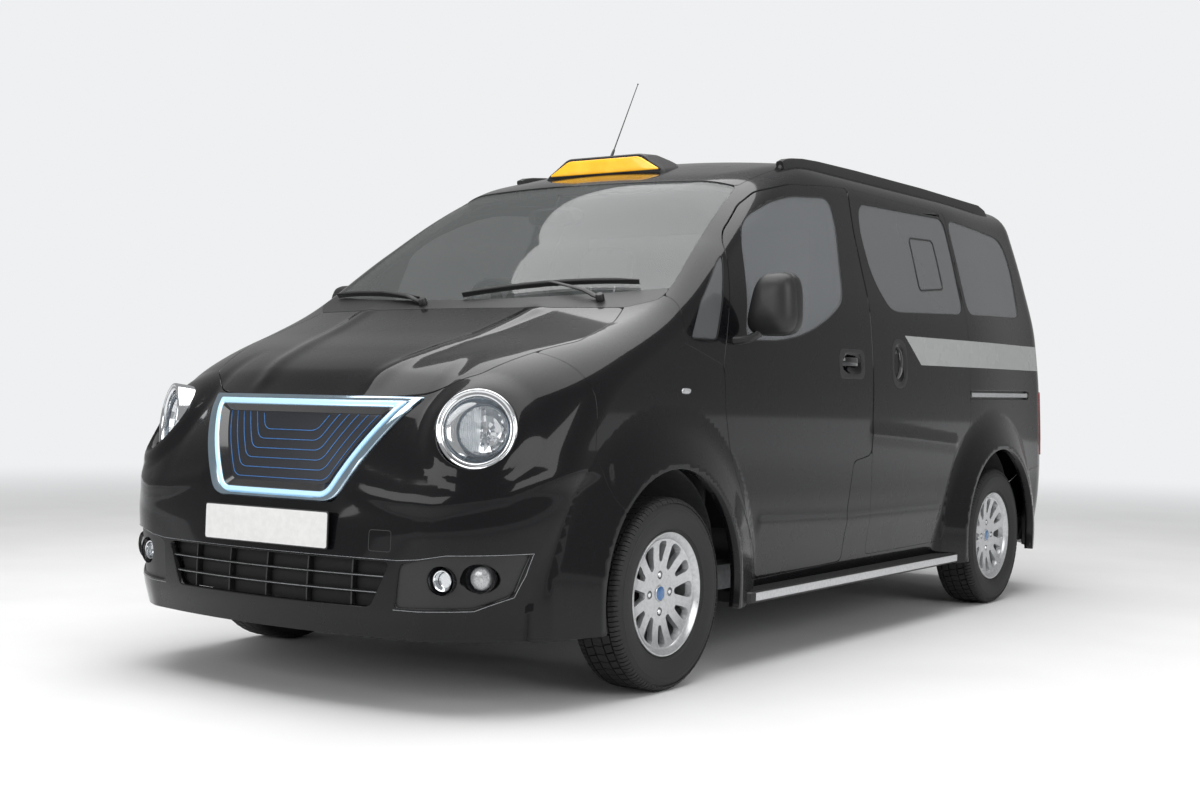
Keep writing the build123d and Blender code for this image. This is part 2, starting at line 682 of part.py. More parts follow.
with BuildPart() as rear_plate:
    with Locations(Location((0, at(tail_station), rear_plate_z), (90, 0, 0))):
        Box(*plate_size)
    add(body_form(0), mode=Mode.SUBTRACT)
finish("rear_plate", rear_plate.part)

# ---------------------------------------------------------------- roof sign, rails, antenna, steps
# Sections of the sign's housing: d, foot half width, foot z, shoulder z, top half width, top z
sign_sections = [(868, 280, 1690, 1750, 172, 1822), (1000, 262, 1690, 1775, 150, 1836),
                 (1260, 130, 1760, 1806, 90, 1834)]
sign_lens_half = [(258, 1756), (164, 1810)]
sign_lens_depth = 12.0
rail_line = [(1128, 1750), (1212, 1802), (1427, 1826), (1754, 1832), (3045, 1820), (3120, 1800), (3150, 1740)]
rail_inner, rail_outer = 598.0, 634.0
antenna_foot, antenna_tip = (915.0, 1826.0), (1090.0, 2134.0)    # station and height
antenna_radius, antenna_foot_radius, antenna_foot_length = 2.6, 6.0, 46.0
step_ends = (488.0, 2276.0)
step_outer, step_z = 890.0, (219.0, 262.0)

with BuildPart() as sign_housing:
    for d, foot, foot_z, shoulder_z, top_half, top_z in sign_sections:
        with BuildSketch(Plane.XZ.offset(-at(d))):
            with BuildLine():
                Polyline(*both_halves([(foot, foot_z), (foot, shoulder_z), (top_half, top_z)]), close=True)
            make_face()
    loft(ruled=True)
    add(body_form(0), mode=Mode.SUBTRACT)
finish("sign_housing", sign_housing.part)

with BuildPart() as sign_lens:
    with BuildSketch(Plane.XZ.offset(-at(sign_sections[0][0]))):
        with BuildLine():
            Polyline(*both_halves(sign_lens_half), close=True)
        make_face()
        fillet(vertices(), 12)
    extrude(amount=sign_lens_depth)
    add(body_form(0), mode=Mode.SUBTRACT)
finish("sign_lens", sign_lens.part)

with BuildPart() as roof_rails:
    with BuildSketch(Plane.YZ.offset(rail_inner)):
        with BuildLine():
            Polyline(*[(at(d), z) for d, z in rail_line], close=True)
        make_face()
    extrude(amount=rail_outer - rail_inner)
    add(body_form(0), mode=Mode.SUBTRACT)
    mirror(about=Plane.YZ)
finish("roof_rails", roof_rails.part)

with BuildPart() as antenna:
    foot = Vector(0, at(antenna_foot[0]), antenna_foot[1])
    tip = Vector(0, at(antenna_tip[0]), antenna_tip[1])
    with BuildSketch(Plane(origin=foot, z_dir=tip - foot)):
        Circle(antenna_radius)
    extrude(amount=(tip - foot).length)
    with BuildSketch(Plane(origin=foot, z_dir=tip - foot).offset(-antenna_foot_length / 2)):
        Circle(antenna_foot_radius)
    extrude(amount=antenna_foot_length)
    add(sign_housing.part, mode=Mode.SUBTRACT)
finish("antenna", antenna.part)

with BuildPart() as side_steps:
    with BuildSketch(Plane.YZ.offset(half_width - 4 * wall)):
        with Locations((at(sum(step_ends) / 2), sum(step_z) / 2)):
            Rectangle(step_ends[1] - step_ends[0], step_z[1] - step_z[0])
    extrude(amount=step_outer - half_width + 4 * wall)
    add(body_form(0), mode=Mode.SUBTRACT)
    add(flares.part, mode=Mode.SUBTRACT)
    mirror(about=Plane.YZ)
finish("side_steps", side_steps.part)

# ---------------------------------------------------------------- wipers
# Each wiper: x and d of the spindle, x and d of the blade's two ends
wipers_at = [(-120, -26, -690, 150, -150, -6), (560, 58, 30, 6, 640, 168)]
wiper_lift, wiper_thickness = 16.0, 12.0


def lifted_strip(start, end, width):
    """A strip that follows the skin between two plan points, lifted off it."""
    with BuildPart() as strip:
        with BuildSketch(Plane.XY.offset(bonnet_foot)):
            middle = ((start[0] + end[0]) / 2, at((start[1] + end[1]) / 2))
            turn = degrees(atan2(end[1] - start[1], end[0] - start[0]))
            with Locations(Location((*middle, 0), (0, 0, turn))):
                SlotCenterToCenter(dist(start, end), width)
        extrude(amount=above - bonnet_foot)
    return strip.part & slab(-wiper_lift - wiper_thickness, -wiper_lift)


with BuildPart() as wipers:
    for pivot_x, pivot_d, left_x, left_d, right_x, right_d in wipers_at:
        middle = ((left_x + right_x) / 2, (left_d + right_d) / 2)
        add(lifted_strip((left_x, left_d), (right_x, right_d), 16))
        add(lifted_strip((pivot_x, pivot_d), middle, 18))
        with BuildSketch(Plane.XY.offset(bonnet_foot)):
            with Locations((pivot_x, at(pivot_d))):
                Circle(13)
        extrude(amount=above - bonnet_foot)
    add(slab(-wiper_lift - wiper_thickness, 0), mode=Mode.INTERSECT)
finish("wipers", wipers.part)

# ---------------------------------------------------------------- floor, firewall and wheel wells
floor_z = 345.0                              # underside of the cabin floor
floor_plate = 18.0
firewall_d, firewall_top = 326.0, 1130.0
well_radius = arch_radius + 2.0
well_skin = 8.0
sheet_rise, sheet_half = 3.0, 480.0          # floor sheets that luggage and wheelchairs stand on
floor_sheets = {"passenger": (1585, 2525), "load": (3195, 3515)}

with BuildPart() as floor_pan:
    with Locations((0, 0, floor_z)):
        Box(4 * half_width, 2 * wheelbase, floor_plate, align=(Align.CENTER, Align.CENTER, Align.MIN))
    with Locations((0, at(firewall_d), floor_z)):
        Box(4 * half_width, floor_plate, firewall_top - floor_z, align=(Align.CENTER, Align.CENTER, Align.MIN))
    for side in (1, -1):
        for end in ("front", "rear"):
            with BuildSketch(Plane.YZ.offset(side * (well_depth - well_skin))):
                with Locations((at(arch_centre_d[end]), tyre_radius)):
                    Circle(well_radius + well_skin)
            extrude(amount=side * body_reach)
    add(body_form(wall + seam), mode=Mode.INTERSECT)
    for side in (1, -1):
        for end in ("front", "rear"):
            with BuildSketch(Plane.YZ.offset(side * well_depth)):
                with Locations((at(arch_centre_d[end]), tyre_radius)):
                    Circle(well_radius)
            extrude(amount=side * body_reach, mode=Mode.SUBTRACT)
    with Locations((0, 0, floor_z)):
        Box(4 * half_width, 2 * wheelbase, floor_z, align=(Align.CENTER, Align.CENTER, Align.MAX), mode=Mode.SUBTRACT)
    for lead_d, tail_d in floor_sheets.values():
        with Locations((0, at((lead_d + tail_d) / 2), floor_z + floor_plate)):
            Box(2 * sheet_half, tail_d - lead_d, sheet_rise, align=(Align.CENTER, Align.CENTER, Align.MIN))
finish("floor_pan", floor_pan.part)

# ---------------------------------------------------------------- cabin
steering_x = -368.0
wheel_rim_radius, wheel_rim_thickness = 180.0, 13.0
column_tilt = 62.0                           # from upright, towards the driver
steering_at = (745.0, 1180.0)                # station and height of the hub
dash_front = firewall_d + floor_plate / 2 + seam / 2
dash_line = [(dash_front, 700), (640, 735), (700, 830), (690, 940), (600, 1060), (452, 1112), (dash_front, 1100)]
dash_half = 690.0
dash_edge = 8.0
hub_drop, hub_plate, hub_boss, column_radius, column_length = 22.0, 26.0, 62.0, 34.0, 180.0
wheel_spoke_width = 36.0
seat_width, seat_edge = 500.0, 14.0
seat_frame_d, seat_frame_length = 1180.0, 420.0
headrest_at, headrest_size, headrest_lean = (1420.0, 1440.0), (270.0, 90.0, 190.0), -8.0
headrest_posts, post_d, post_radius, post_foot, post_length = 60.0, 1396.0, 6.0, 1320.0, 60.0
cabin_floor = floor_z + floor_plate
seat_frame_height = 280.0
seat_base = cabin_floor + seat_frame_height + seam / 2
partition_d, partition_thickness = 1545.0, 30.0
pane_width, pane_height, pane_z = 1080.0, 520.0, 1320.0
folding_x, folding_foot, folding_size = 370.0, 640.0, (430.0, 130.0, 560.0)
bench_d, bench_half = 2540.0, 560.0
bench_headrests, bench_headrest_d, bench_headrest_foot = (-370.0, 0.0, 370.0), 595.0, 1010.0
bench_headrest_size = (250.0, 80.0, 170.0)

with BuildPart() as dashboard:
    with BuildSketch(Plane.YZ.offset(-dash_half)):
        with BuildLine():
            Polyline(*[(at(d), z) for d, z in dash_line], close=True)
        make_face()
        fillet(vertices().group_by(Axis.Y)[0] + vertices().group_by(Axis.Y)[-1], dash_edge)
    extrude(amount=2 * dash_half)
finish("dashboard", dashboard.part)

hub_plane = Plane(origin=(steering_x, at(steering_at[0]), steering_at[1]), x_dir=(1, 0, 0),
                  z_dir=(0, sin(radians(column_tilt)), cos(radians(column_tilt))))
with BuildPart() as steering_wheel:
    with BuildSketch(Plane(origin=hub_plane.origin, x_dir=hub_plane.x_dir, z_dir=hub_plane.y_dir)):
        with Locations((wheel_rim_radius, 0)):
            Circle(wheel_rim_thickness)
    revolve(axis=Axis(hub_plane.origin, hub_plane.z_dir))
    with BuildSketch(hub_plane.offset(-hub_drop)):
        Circle(hub_boss)
        for turn in (0, 180, 270):
            with Locations(Location((0, 0, 0), (0, 0, turn))):
                Rectangle(wheel_rim_radius - 4, wheel_spoke_width, align=(Align.MIN, Align.CENTER))
    extrude(amount=hub_plate)
    with BuildSketch(hub_plane.offset(-hub_drop)):
        Circle(column_radius)
    extrude(amount=-column_length)
    add(dashboard.part, mode=Mode.SUBTRACT)
finish("steering_wheel", steering_wheel.part)

with BuildPart() as driver_seat_frame:
    with BuildSketch(Plane.XY.offset(cabin_floor)):
        with Locations((steering_x, at(seat_frame_d))):
            Rectangle(seat_width - 90, seat_frame_length)
    extrude(amount=seat_frame_height)
finish("driver_seat_frame", driver_seat_frame.part)

seat_line = [(925, seat_base), (925, 700), (960, 768), (1210, 745), (1330, 1300), (1350, 1345), (1420, 1345),
             (1436, 1300), (1390, 700), (1340, seat_base)]
with BuildPart() as driver_seat:
    with BuildSketch(Plane.YZ.offset(steering_x - seat_width / 2)):
        with BuildLine():
            Polyline(*[(at(d), z) for d, z in seat_line], close=True)
        make_face()
        fillet(vertices(), seat_edge)
    extrude(amount=seat_width)
    with Locations(Location((steering_x, at(headrest_at[0]), headrest_at[1]), (headrest_lean, 0, 0))):
        Box(*headrest_size)
    for post in (-headrest_posts, headrest_posts):
        with BuildSketch(Plane.XY.offset(post_foot)):
            with Locations((steering_x + post, at(post_d))):
                Circle(post_radius)
        extrude(amount=post_length)
finish("driver_seat", driver_seat.part)

with BuildPart() as partition:
    with Locations((0, at(partition_d), cabin_floor)):
        Box(4 * half_width, partition_thickness, roof_z - cabin_floor, align=(Align.CENTER, Align.CENTER, Align.MIN))
    with Locations((0, at(partition_d), pane_z)):
        Box(pane_width, 3 * partition_thickness, pane_height, mode=Mode.SUBTRACT)
    add(body_form(wall + seam), mode=Mode.INTERSECT)
finish("partition", partition.part)

with BuildPart() as partition_glass:
    with Locations((0, at(partition_d), pane_z)):
        Box(pane_width - 2 * glass_clearance, 2 * glass_thickness, pane_height - 2 * glass_clearance)
finish("partition_glass", partition_glass.part)

with BuildPart() as folding_seats:
    for x in (-folding_x, folding_x):
        with Locations((x, at(partition_d) + partition_thickness / 2, folding_foot)):
            Box(*folding_size, align=(Align.CENTER, Align.MIN, Align.MIN))
    fillet(edges().filter_by(Axis.Z), 20)
finish("folding_seats", folding_seats.part)

bench_line = [(0, 0), (0, 400), (60, 470), (420, 440), (540, 1010), (640, 1010), (590, 300), (560, 0)]
with BuildPart() as rear_bench:
    with BuildSketch(Plane.YZ.offset(-bench_half)):
        with BuildLine():
            Polyline(*[(at(bench_d + d), cabin_floor + z) for d, z in bench_line], close=True)
        make_face()
    extrude(amount=2 * bench_half)
    for x in bench_headrests:
        with Locations((x, at(bench_d + bench_headrest_d), cabin_floor + bench_headrest_foot)):
            Box(*bench_headrest_size, align=(Align.CENTER, Align.CENTER, Align.MIN))
    for side in (1, -1):
        with BuildSketch(Plane.YZ.offset(side * (well_depth - 3 * well_skin))):
            with Locations((at(arch_centre_d["rear"]), tyre_radius)):
                Circle(well_radius + 2 * well_skin)
        extrude(amount=side * body_reach, mode=Mode.SUBTRACT)
finish("rear_bench", rear_bench.part)

# ---------------------------------------------------------------- heavy blocks and axles
battery_d, battery_size = 1330.0, (1040.0, 1560.0, 170.0)
motor_d, motor_size = -20.0, (560.0, 560.0, 400.0)
under_floor = floor_z - seam / 2
motor_z = floor_z + floor_plate + seam / 2
subframe_size = (760.0, 420.0, 60.0)
kingpin_x, upright_x = 700.0, 664.0
arm_root_x, arm_root_half, arm_tip_half, arm_thickness = 372.0, 170.0, 16.0, 26.0
arm_top = 188.0
arm_bracket = (60.0, 400.0)                  # width and length of the bracket over each arm's root
rack_d, rack_z, rack_size = 90.0, 300.0, 24.0
upright_size = (44.0, 120.0, 240.0)
joint_boss = (40.0, 44.0, 26.0)
strut_radius, strut_foot, strut_top = 25.0, 388.0, 680.0
spindle_radius = 16.0
hub_face_front = front_half_track - 34.0     # inner face of a front hub
hub_face_rear = rear_half_track - 34.0
spindle_free = 6.0                           # spindle past the hub's outer face
hub_length = 62.0
beam_radius = 34.0
spring_x, spring_z, spring_size, spring_shift = 440.0, 262.0, (64.0, 1160.0, 16.0), -20.0
hanger_width, hangers = 40.0, (-560.0, 520.0)

with BuildPart() as battery_pack:
    with Locations((0, at(battery_d), under_floor)):
        Box(*battery_size, align=(Align.CENTER, Align.CENTER, Align.MAX))
    fillet(edges().filter_by(Axis.Z), 30)
finish("battery_pack", battery_pack.part)

with BuildPart() as motor_block:
    with Locations((0, at(motor_d), motor_z)):
        Box(*motor_size, align=(Align.CENTER, Align.CENTER, Align.MIN))
finish("motor_block", motor_block.part)

with BuildPart() as front_subframe:
    with Locations((0, at(0), under_floor)):
        Box(*subframe_size, align=(Align.CENTER, Align.CENTER, Align.MAX))
    for side in (1, -1):
        root, tip = side * arm_root_x, side * (kingpin_x + 14)
        with BuildSketch(Plane.XY.offset(arm_top)):
            with BuildLine():
                Polyline((root, at(-arm_root_half)), (tip, at(-arm_tip_half)), (tip, at(arm_tip_half)),
                         (root, at(arm_root_half)), close=True)
            make_face()
        extrude(amount=-arm_thickness)
        with Locations((side * (arm_root_x - 22), at(0), arm_top - arm_thickness)):
            Box(*arm_bracket, under_floor - arm_top, align=(Align.CENTER, Align.CENTER, Align.MIN))
    with Locations((0, at(rack_d), rack_z)):
        Box(2 * (well_depth + 10), rack_size, rack_size)
    add(floor_pan.part, mode=Mode.SUBTRACT)
finish("front_subframe", front_subframe.part)

with BuildPart() as knuckle_left:
    with Locations((upright_x, at(0), arm_top + 0.3)):
        Box(*upright_size, align=(Align.CENTER, Align.CENTER, Align.MIN))
    with Locations((kingpin_x - 6, at(0), arm_top + 0.3)):
        Box(*joint_boss, align=(Align.CENTER, Align.CENTER, Align.MIN))
    with BuildSketch(Plane.YZ.offset(upright_x)):
        with Locations((at(0), tyre_radius)):
            Circle(spindle_radius)
    extrude(amount=hub_face_front + hub_length + spindle_free - upright_x)
    with BuildSketch(Plane.YZ.offset(upright_x)):
        with Locations((at(0), tyre_radius)):
            Circle(2 * spindle_radius)
    extrude(amount=hub_face_front - 0.3 - upright_x)
    with BuildSketch(Plane.XY.offset(strut_foot)):
        with Locations((upright_x - 14, at(0))):
            Circle(strut_radius)
    extrude(amount=strut_top - strut_foot)
finish("knuckle_left", knuckle_left.part)
with BuildPart() as knuckle_right:
    add(mirror(knuckle_left.part, about=Plane.YZ, mode=Mode.PRIVATE))
finish("knuckle_right", knuckle_right.part)

with BuildPart() as rear_axle:
    with BuildSketch(Plane.YZ.offset(-(hub_face_rear - 0.3))):
        with Locations((rear_axle_y, tyre_radius)):
            Circle(beam_radius)
    extrude(amount=2 * (hub_face_rear - 0.3))
    with BuildSketch(Plane.YZ.offset(-(hub_face_rear + hub_length + spindle_free))):
        with Locations((rear_axle_y, tyre_radius)):
            Circle(spindle_radius)
    extrude(amount=2 * (hub_face_rear + hub_length + spindle_free))
    for side in (1, -1):
        with Locations((side * spring_x, rear_axle_y + spring_shift, spring_z)):
            Box(*spring_size)
        for hanger in hangers:
            with Locations((side * spring_x, rear_axle_y + hanger, spring_z)):
                Box(hanger_width, hanger_width, under_floor - spring_z,
                    align=(Align.CENTER, Align.CENTER, Align.MIN))
finish("rear_axle", rear_axle.part)

# ---------------------------------------------------------------- wheels
# Tyre section from the inner bead round to the outer bead: offset from the middle plane, radius
tyre_half = [(62, 184), (66, 194), (84, 222), (tyre_width / 2, 250), (84, 276), (70, 296), (40, tyre_radius)]
rim_section = [(-73, rim_lip_radius), (-73, 176), (-40, 166), (40, 160), (66, 176), (73, rim_lip_radius - 6),
               (73, rim_lip_radius), (66.3, rim_lip_radius), (62.6, rim_radius - 0.3), (-62.6, rim_radius - 0.3),
               (-66.3, rim_lip_radius)]
spoke_pairs, spoke_spread, spoke_width, spoke_depth, spoke_reach = 6, 15.0, 17.0, 24.0, 166.0
rim_face = 44.0                              # spoke face outwards from the middle plane
hub_inset = -34.0                            # inner face of the hub from the middle plane
hub_radius, disc_radius, disc_thickness = 56.0, 120.0, 18.0


def wheel_centre(end, side):
    half_track = front_half_track if end == "front" else rear_half_track
    return Vector(side * half_track, front_axle_y if end == "front" else rear_axle_y, tyre_radius)


for end in ("front", "rear"):
    for side, side_name in ((1, "left"), (-1, "right")):
        centre = wheel_centre(end, side)
        spin = Axis(centre, (1, 0, 0))
        section = Plane(origin=centre, x_dir=(side, 0, 0), z_dir=(0, -side, 0))
        with BuildPart() as tyre:
            with BuildSketch(section):
                with BuildLine():
                    Polyline(*tyre_half, *[(-x, r) for x, r in reversed(tyre_half)], close=True)
                make_face()
            revolve(axis=spin)
        finish(f"tyre_{end}_{side_name}", tyre.part)

        face = Plane(origin=centre, x_dir=(0, side, 0), z_dir=(side, 0, 0))
        with BuildPart() as rim:
            with BuildSketch(section):
                with BuildLine():
                    Polyline(*rim_section, close=True)
                make_face()
            revolve(axis=spin)
            with BuildSketch(face.offset(rim_face - spoke_depth)):
                Circle(hub_radius)
                for pair in range(spoke_pairs):
                    for lean in (-spoke_spread, spoke_spread):
                        with Locations(Location((0, 0, 0), (0, 0, pair * 360 / spoke_pairs + lean))):
                            Rectangle(spoke_reach, spoke_width, align=(Align.MIN, Align.CENTER))
            extrude(amount=spoke_depth)
            with BuildSketch(face.offset(hub_inset)):
                Circle(hub_radius - 14)
            extrude(amount=hub_length)
            with BuildSketch(face.offset(hub_inset)):
                Circle(disc_radius)
            extrude(amount=disc_thickness)
            with BuildSketch(face.offset(hub_inset)):
                Circle(spindle_radius + hub_clearance)
            extrude(amount=hub_length + spindle_free + 4, mode=Mode.SUBTRACT)
        finish(f"rim_{end}_{side_name}", rim.part)
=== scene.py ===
import json
import math
import bmesh
import bpy
import numpy as np
from mathutils import Matrix, Vector
from mathutils.bvhtree import BVHTree

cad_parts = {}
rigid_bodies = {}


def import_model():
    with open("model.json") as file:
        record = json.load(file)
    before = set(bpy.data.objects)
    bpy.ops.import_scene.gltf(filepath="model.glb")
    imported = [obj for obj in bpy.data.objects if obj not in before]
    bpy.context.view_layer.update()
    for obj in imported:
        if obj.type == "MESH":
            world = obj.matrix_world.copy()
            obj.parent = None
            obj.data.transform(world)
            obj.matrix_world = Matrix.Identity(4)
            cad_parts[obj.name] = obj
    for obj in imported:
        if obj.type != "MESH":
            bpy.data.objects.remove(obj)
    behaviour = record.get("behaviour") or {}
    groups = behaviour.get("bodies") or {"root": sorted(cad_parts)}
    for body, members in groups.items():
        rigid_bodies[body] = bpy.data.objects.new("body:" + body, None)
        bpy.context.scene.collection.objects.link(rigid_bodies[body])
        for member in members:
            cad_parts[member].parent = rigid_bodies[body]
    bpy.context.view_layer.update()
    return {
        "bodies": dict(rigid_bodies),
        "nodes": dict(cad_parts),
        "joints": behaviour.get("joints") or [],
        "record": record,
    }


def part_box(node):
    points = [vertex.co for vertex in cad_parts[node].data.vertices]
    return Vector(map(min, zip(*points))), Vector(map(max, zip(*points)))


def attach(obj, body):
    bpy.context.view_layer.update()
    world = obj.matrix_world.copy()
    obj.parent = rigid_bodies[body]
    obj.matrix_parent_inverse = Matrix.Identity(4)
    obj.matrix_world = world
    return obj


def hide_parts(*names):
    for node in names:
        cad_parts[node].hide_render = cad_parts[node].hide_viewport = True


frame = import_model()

# Lengths below are millimetres. d is the station behind the front axle, x points to the cab's left, z up.
frontAxleY = -1365.0


def toFrame(points):
    p = np.asarray(points, float)
    return np.stack([p[..., 0], p[..., 1] + frontAxleY, p[..., 2]], axis=-1) * 0.001


# curves and blends

def easedCurve(knots, values, at):
    x, y = np.asarray(knots, float), np.asarray(values, float)
    h, rise = np.diff(x), np.diff(y) / np.diff(x)
    slope = np.zeros_like(y)
    slope[0], slope[-1] = rise[0], rise[-1]
    same = rise[1:] * rise[:-1] > 0
    slope[1:-1][same] = 2 * rise[1:][same] * rise[:-1][same] / (rise[1:][same] + rise[:-1][same])
    k = np.clip(np.searchsorted(x, at) - 1, 0, len(h) - 1)
    t = np.clip((at - x[k]) / h[k], -0.6, 1.6)
    a, b = y[k], y[k + 1]
    return ((1 + 2 * t) * (1 - t) ** 2 * a + t * (1 - t) ** 2 * h[k] * slope[k]
            + t * t * (3 - 2 * t) * b + t * t * (t - 1) * h[k] * slope[k + 1])


def softMax(a, b, k):
    return np.maximum(a, b) + np.maximum(k - np.abs(a - b), 0) ** 2 / (4 * k)


def softMin(a, b, k):
    return -softMax(-a, -b, k)


def ramp(v, start, end):
    t = np.clip((v - start) / (end - start), 0, 1)
    return t * t * (3 - 2 * t)


def ridge(distance, width):
    return np.exp(-(distance / width) ** 2)


def lineDistance(u, v, points):
    best = np.full(np.shape(u), 1e9)
    for (ax, ay), (bx, by) in zip(points[:-1], points[1:]):
        ex, ey = bx - ax, by - ay
        t = np.clip(((u - ax) * ex + (v - ay) * ey) / (ex * ex + ey * ey), 0, 1)
        best = np.minimum(best, np.hypot(u - ax - t * ex, v - ay - t * ey))
    return best


def insideDistance(u, v, outline):
    # negative inside the outline
    odd = np.zeros(np.shape(u), bool)
    closed = list(outline) + [outline[0]]
    for (ax, ay), (bx, by) in zip(closed[:-1], closed[1:]):
        if ay != by:
            odd ^= ((ay > v) != (by > v)) & (u < (bx - ax) * (v - ay) / (by - ay) + ax)
    return np.where(odd, -1, 1) * lineDistance(u, v, closed)


def roundCorners(outline, radius, steps=6):
    result, n = [], len(outline)
    for i in range(n):
        p, before, after = (np.array(outline[j % n], float) for j in (i, i - 1, i + 1))
        a, b = before - p, after - p
        la, lb = np.hypot(*a), np.hypot(*b)
        start, end = p + a / la * min(radius, 0.48 * la), p + b / lb * min(radius, 0.48 * lb)
        for t in np.linspace(0, 1, steps):
            result.append(tuple((1 - t) ** 2 * start + 2 * t * (1 - t) * p + t * t * end))
    return result


def bothHalves(half):
    return half + [(-x, z) for x, z in reversed(half)]


def bowed(start, middle, end, steps=24):
    # points of the circle through three points
    (ax, ay), (bx, by), (cx, cy) = start, middle, end
    w = 2 * (ax * (by - cy) + bx * (cy - ay) + cx * (ay - by))
    ux = ((ax**2 + ay**2) * (by - cy) + (bx**2 + by**2) * (cy - ay) + (cx**2 + cy**2) * (ay - by)) / w
    uy = ((ax**2 + ay**2) * (cx - bx) + (bx**2 + by**2) * (ax - cx) + (cx**2 + cy**2) * (bx - ax)) / w
    r = math.hypot(ax - ux, ay - uy)
    a0, a1 = math.atan2(ay - uy, ax - ux), math.atan2(cy - uy, cx - ux)
    turn = (a1 - a0 + math.pi) % (2 * math.pi) - math.pi
    return [(ux + r * math.cos(a0 + turn * i / steps), uy + r * math.sin(a0 + turn * i / steps))
            for i in range(steps + 1)]


def planOutline(half, lead, tail):
    left = [(-x, d) for x, d in half]
    return (half + bowed(half[-1], (0, tail), left[-1])[1:-1] + left[::-1]
            + bowed(left[0], (0, lead), half[0])[1:-1])


# the body's skin, as one field: negative inside
# columns: z, nose, nose corner x and d, half width, side start, tail half, tail side end,
# tail corner x and d, tail
bodyLevels = np.array([
    (150, -838, 560, -778, 796, -436, 758, 3315, 548, 3552, 3566),
    (215, -852, 560, -792, 803, -450, 770, 3330, 560, 3566, 3580),
    (300, -866, 560, -806, 815, -470, 790, 3370, 590, 3578, 3592),
    (500, -850, 560, -808, 839, -480, 805, 3400, 600, 3586, 3596),
    (585, -836, 540, -806, 843, -470, 808, 3400, 600, 3584, 3595),
    (905, -724, 470, -640, 848, -270, 806, 3380, 600, 3574, 3588),
    (1190, -330, 470, -200, 832, 260, 790, 3350, 570, 3560, 3575),
    (1450, 60, 500, 200, 770, 600, 735, 3330, 540, 3525, 3540),
    (1700, 480, 480, 640, 696, 1120, 668, 3300, 500, 3480, 3500),
    (1900, 700, 440, 900, 640, 1500, 610, 3260, 480, 3440, 3460)], float)
centreLine = [(-1500, 886), (-900, 886), (-740, 887), (-608, 982), (-448, 1046), (-250, 1112), (-48, 1200),
              (300, 1440),
              (658, 1685), (860, 1750), (1130, 1812), (1420, 1856), (2200, 1900)]
tailLine = [(1500, 1852), (2700, 1851), (3150, 1837), (3350, 1810), (3490, 1775), (3560, 1660), (3640, 1500),
            (3900, 900)]
arches = {"front": (24, 575), "rear": (2735, 548)}     # station of the centre, radius of the flare's crest
archSize = dict(z=300, opening=389, lip=406, reach=894)
bowStation = 2160

heights = np.arange(150, 1901, 2.0)
levelColumns = np.stack([easedCurve(bodyLevels[:, 0], bodyLevels[:, k], heights) for k in range(1, 11)])
stations = np.arange(-1500, 3901, 4.0)
centreHeights = easedCurve(*zip(*centreLine), stations)
tailHeights = easedCurve(*zip(*tailLine), stations)


def planDistance(x, d, z):
    nose, noseX, noseD, half, sideD, tailHalf, tailD, tailX, cornerD, tail = (
        np.interp(z, heights, column) for column in levelColumns)
    ax = np.abs(x)
    rise = noseD - nose
    bow = (noseX**2 + rise**2) / (2 * rise)
    front = np.hypot(ax, np.minimum(d - nose - bow, 0)) - bow
    a, b = half - noseX, sideD - noseD
    corner = (a * a + b * b) / (2 * a)
    sideFront = np.hypot(np.maximum(ax - half + corner, 0), np.minimum(d - sideD, 0)) - corner
    blend = ramp(ax, noseX - 45, noseX + 45)
    frontPart = front * (1 - blend) + sideFront * blend
    taper = half + (tailHalf - half) * ramp(d, 2500, tailD + 60)
    a, b = tailHalf - tailX, cornerD - tailD
    corner = (a * a + b * b) / (2 * a)
    sideTail = np.hypot(np.maximum(ax - taper + corner, 0), np.maximum(d - tailD, 0)) - corner
    rise = tail - cornerD
    bow = (tailX**2 + rise**2) / (2 * rise)
    back = np.hypot(ax, np.maximum(d - tail + bow, 0)) - bow
    blend = ramp(ax, tailX - 45, tailX + 45)
    tailPart = back * (1 - blend) + sideTail * blend
    return np.where(d < 1500, frontPart, tailPart)


def topDistance(x, d, z):
    e = bowStation - np.hypot(x, bowStation - np.minimum(d, bowStation))
    h = np.interp(e, stations, centreHeights)
    slope = (np.interp(e + 8, stations, centreHeights) - np.interp(e - 8, stations, centreHeights)) / 16
    over = (z - h) / np.sqrt(1 + slope**2)
    crown = z - 1845 + 39 * (x / 600) ** 2
    h = np.interp(d, stations, tailHeights)
    slope = (np.interp(d + 8, stations, tailHeights) - np.interp(d - 8, stations, tailHeights)) / 16
    back = (z - h) / np.sqrt(1 + slope**2)
    return softMax(softMax(over, crown, 16), back, 24)


def flareDistance(x, d, z):
    best = np.full(np.shape(x), 1e3)
    for centre, crest in arches.values():
        r = np.hypot(d - centre, z - archSize["z"])
        out = np.interp(r, [0, archSize["lip"], crest, crest + 60],
                        [archSize["reach"], archSize["reach"], 838, 790])
        best = np.minimum(best, np.where(r < crest + 50, np.abs(x) - out, 1e3))
    return best


skinDetails = []       # functions of |x|, d, z that raise the skin, in millimetres


def bodyField(p):
    x, d, z = p[..., 0], p[..., 1], p[..., 2]
    edge = 44 + 46 * ramp(z, 1300, 1700)
    field = softMax(planDistance(x, d, z), topDistance(x, d, z), edge)
    field = softMin(field, flareDistance(x, d, z), 16)
    for detail in skinDetails:
        field = field - detail(np.abs(x), d, z)
    return field


def fieldNormals(p):
    step, grad = 2.0, []
    for axis in range(3):
        shift = np.zeros(3)
        shift[axis] = step
        grad.append(bodyField(p + shift) - bodyField(p - shift))
    n = np.stack(grad, axis=-1)
    return n / np.linalg.norm(n, axis=-1, keepdims=True)


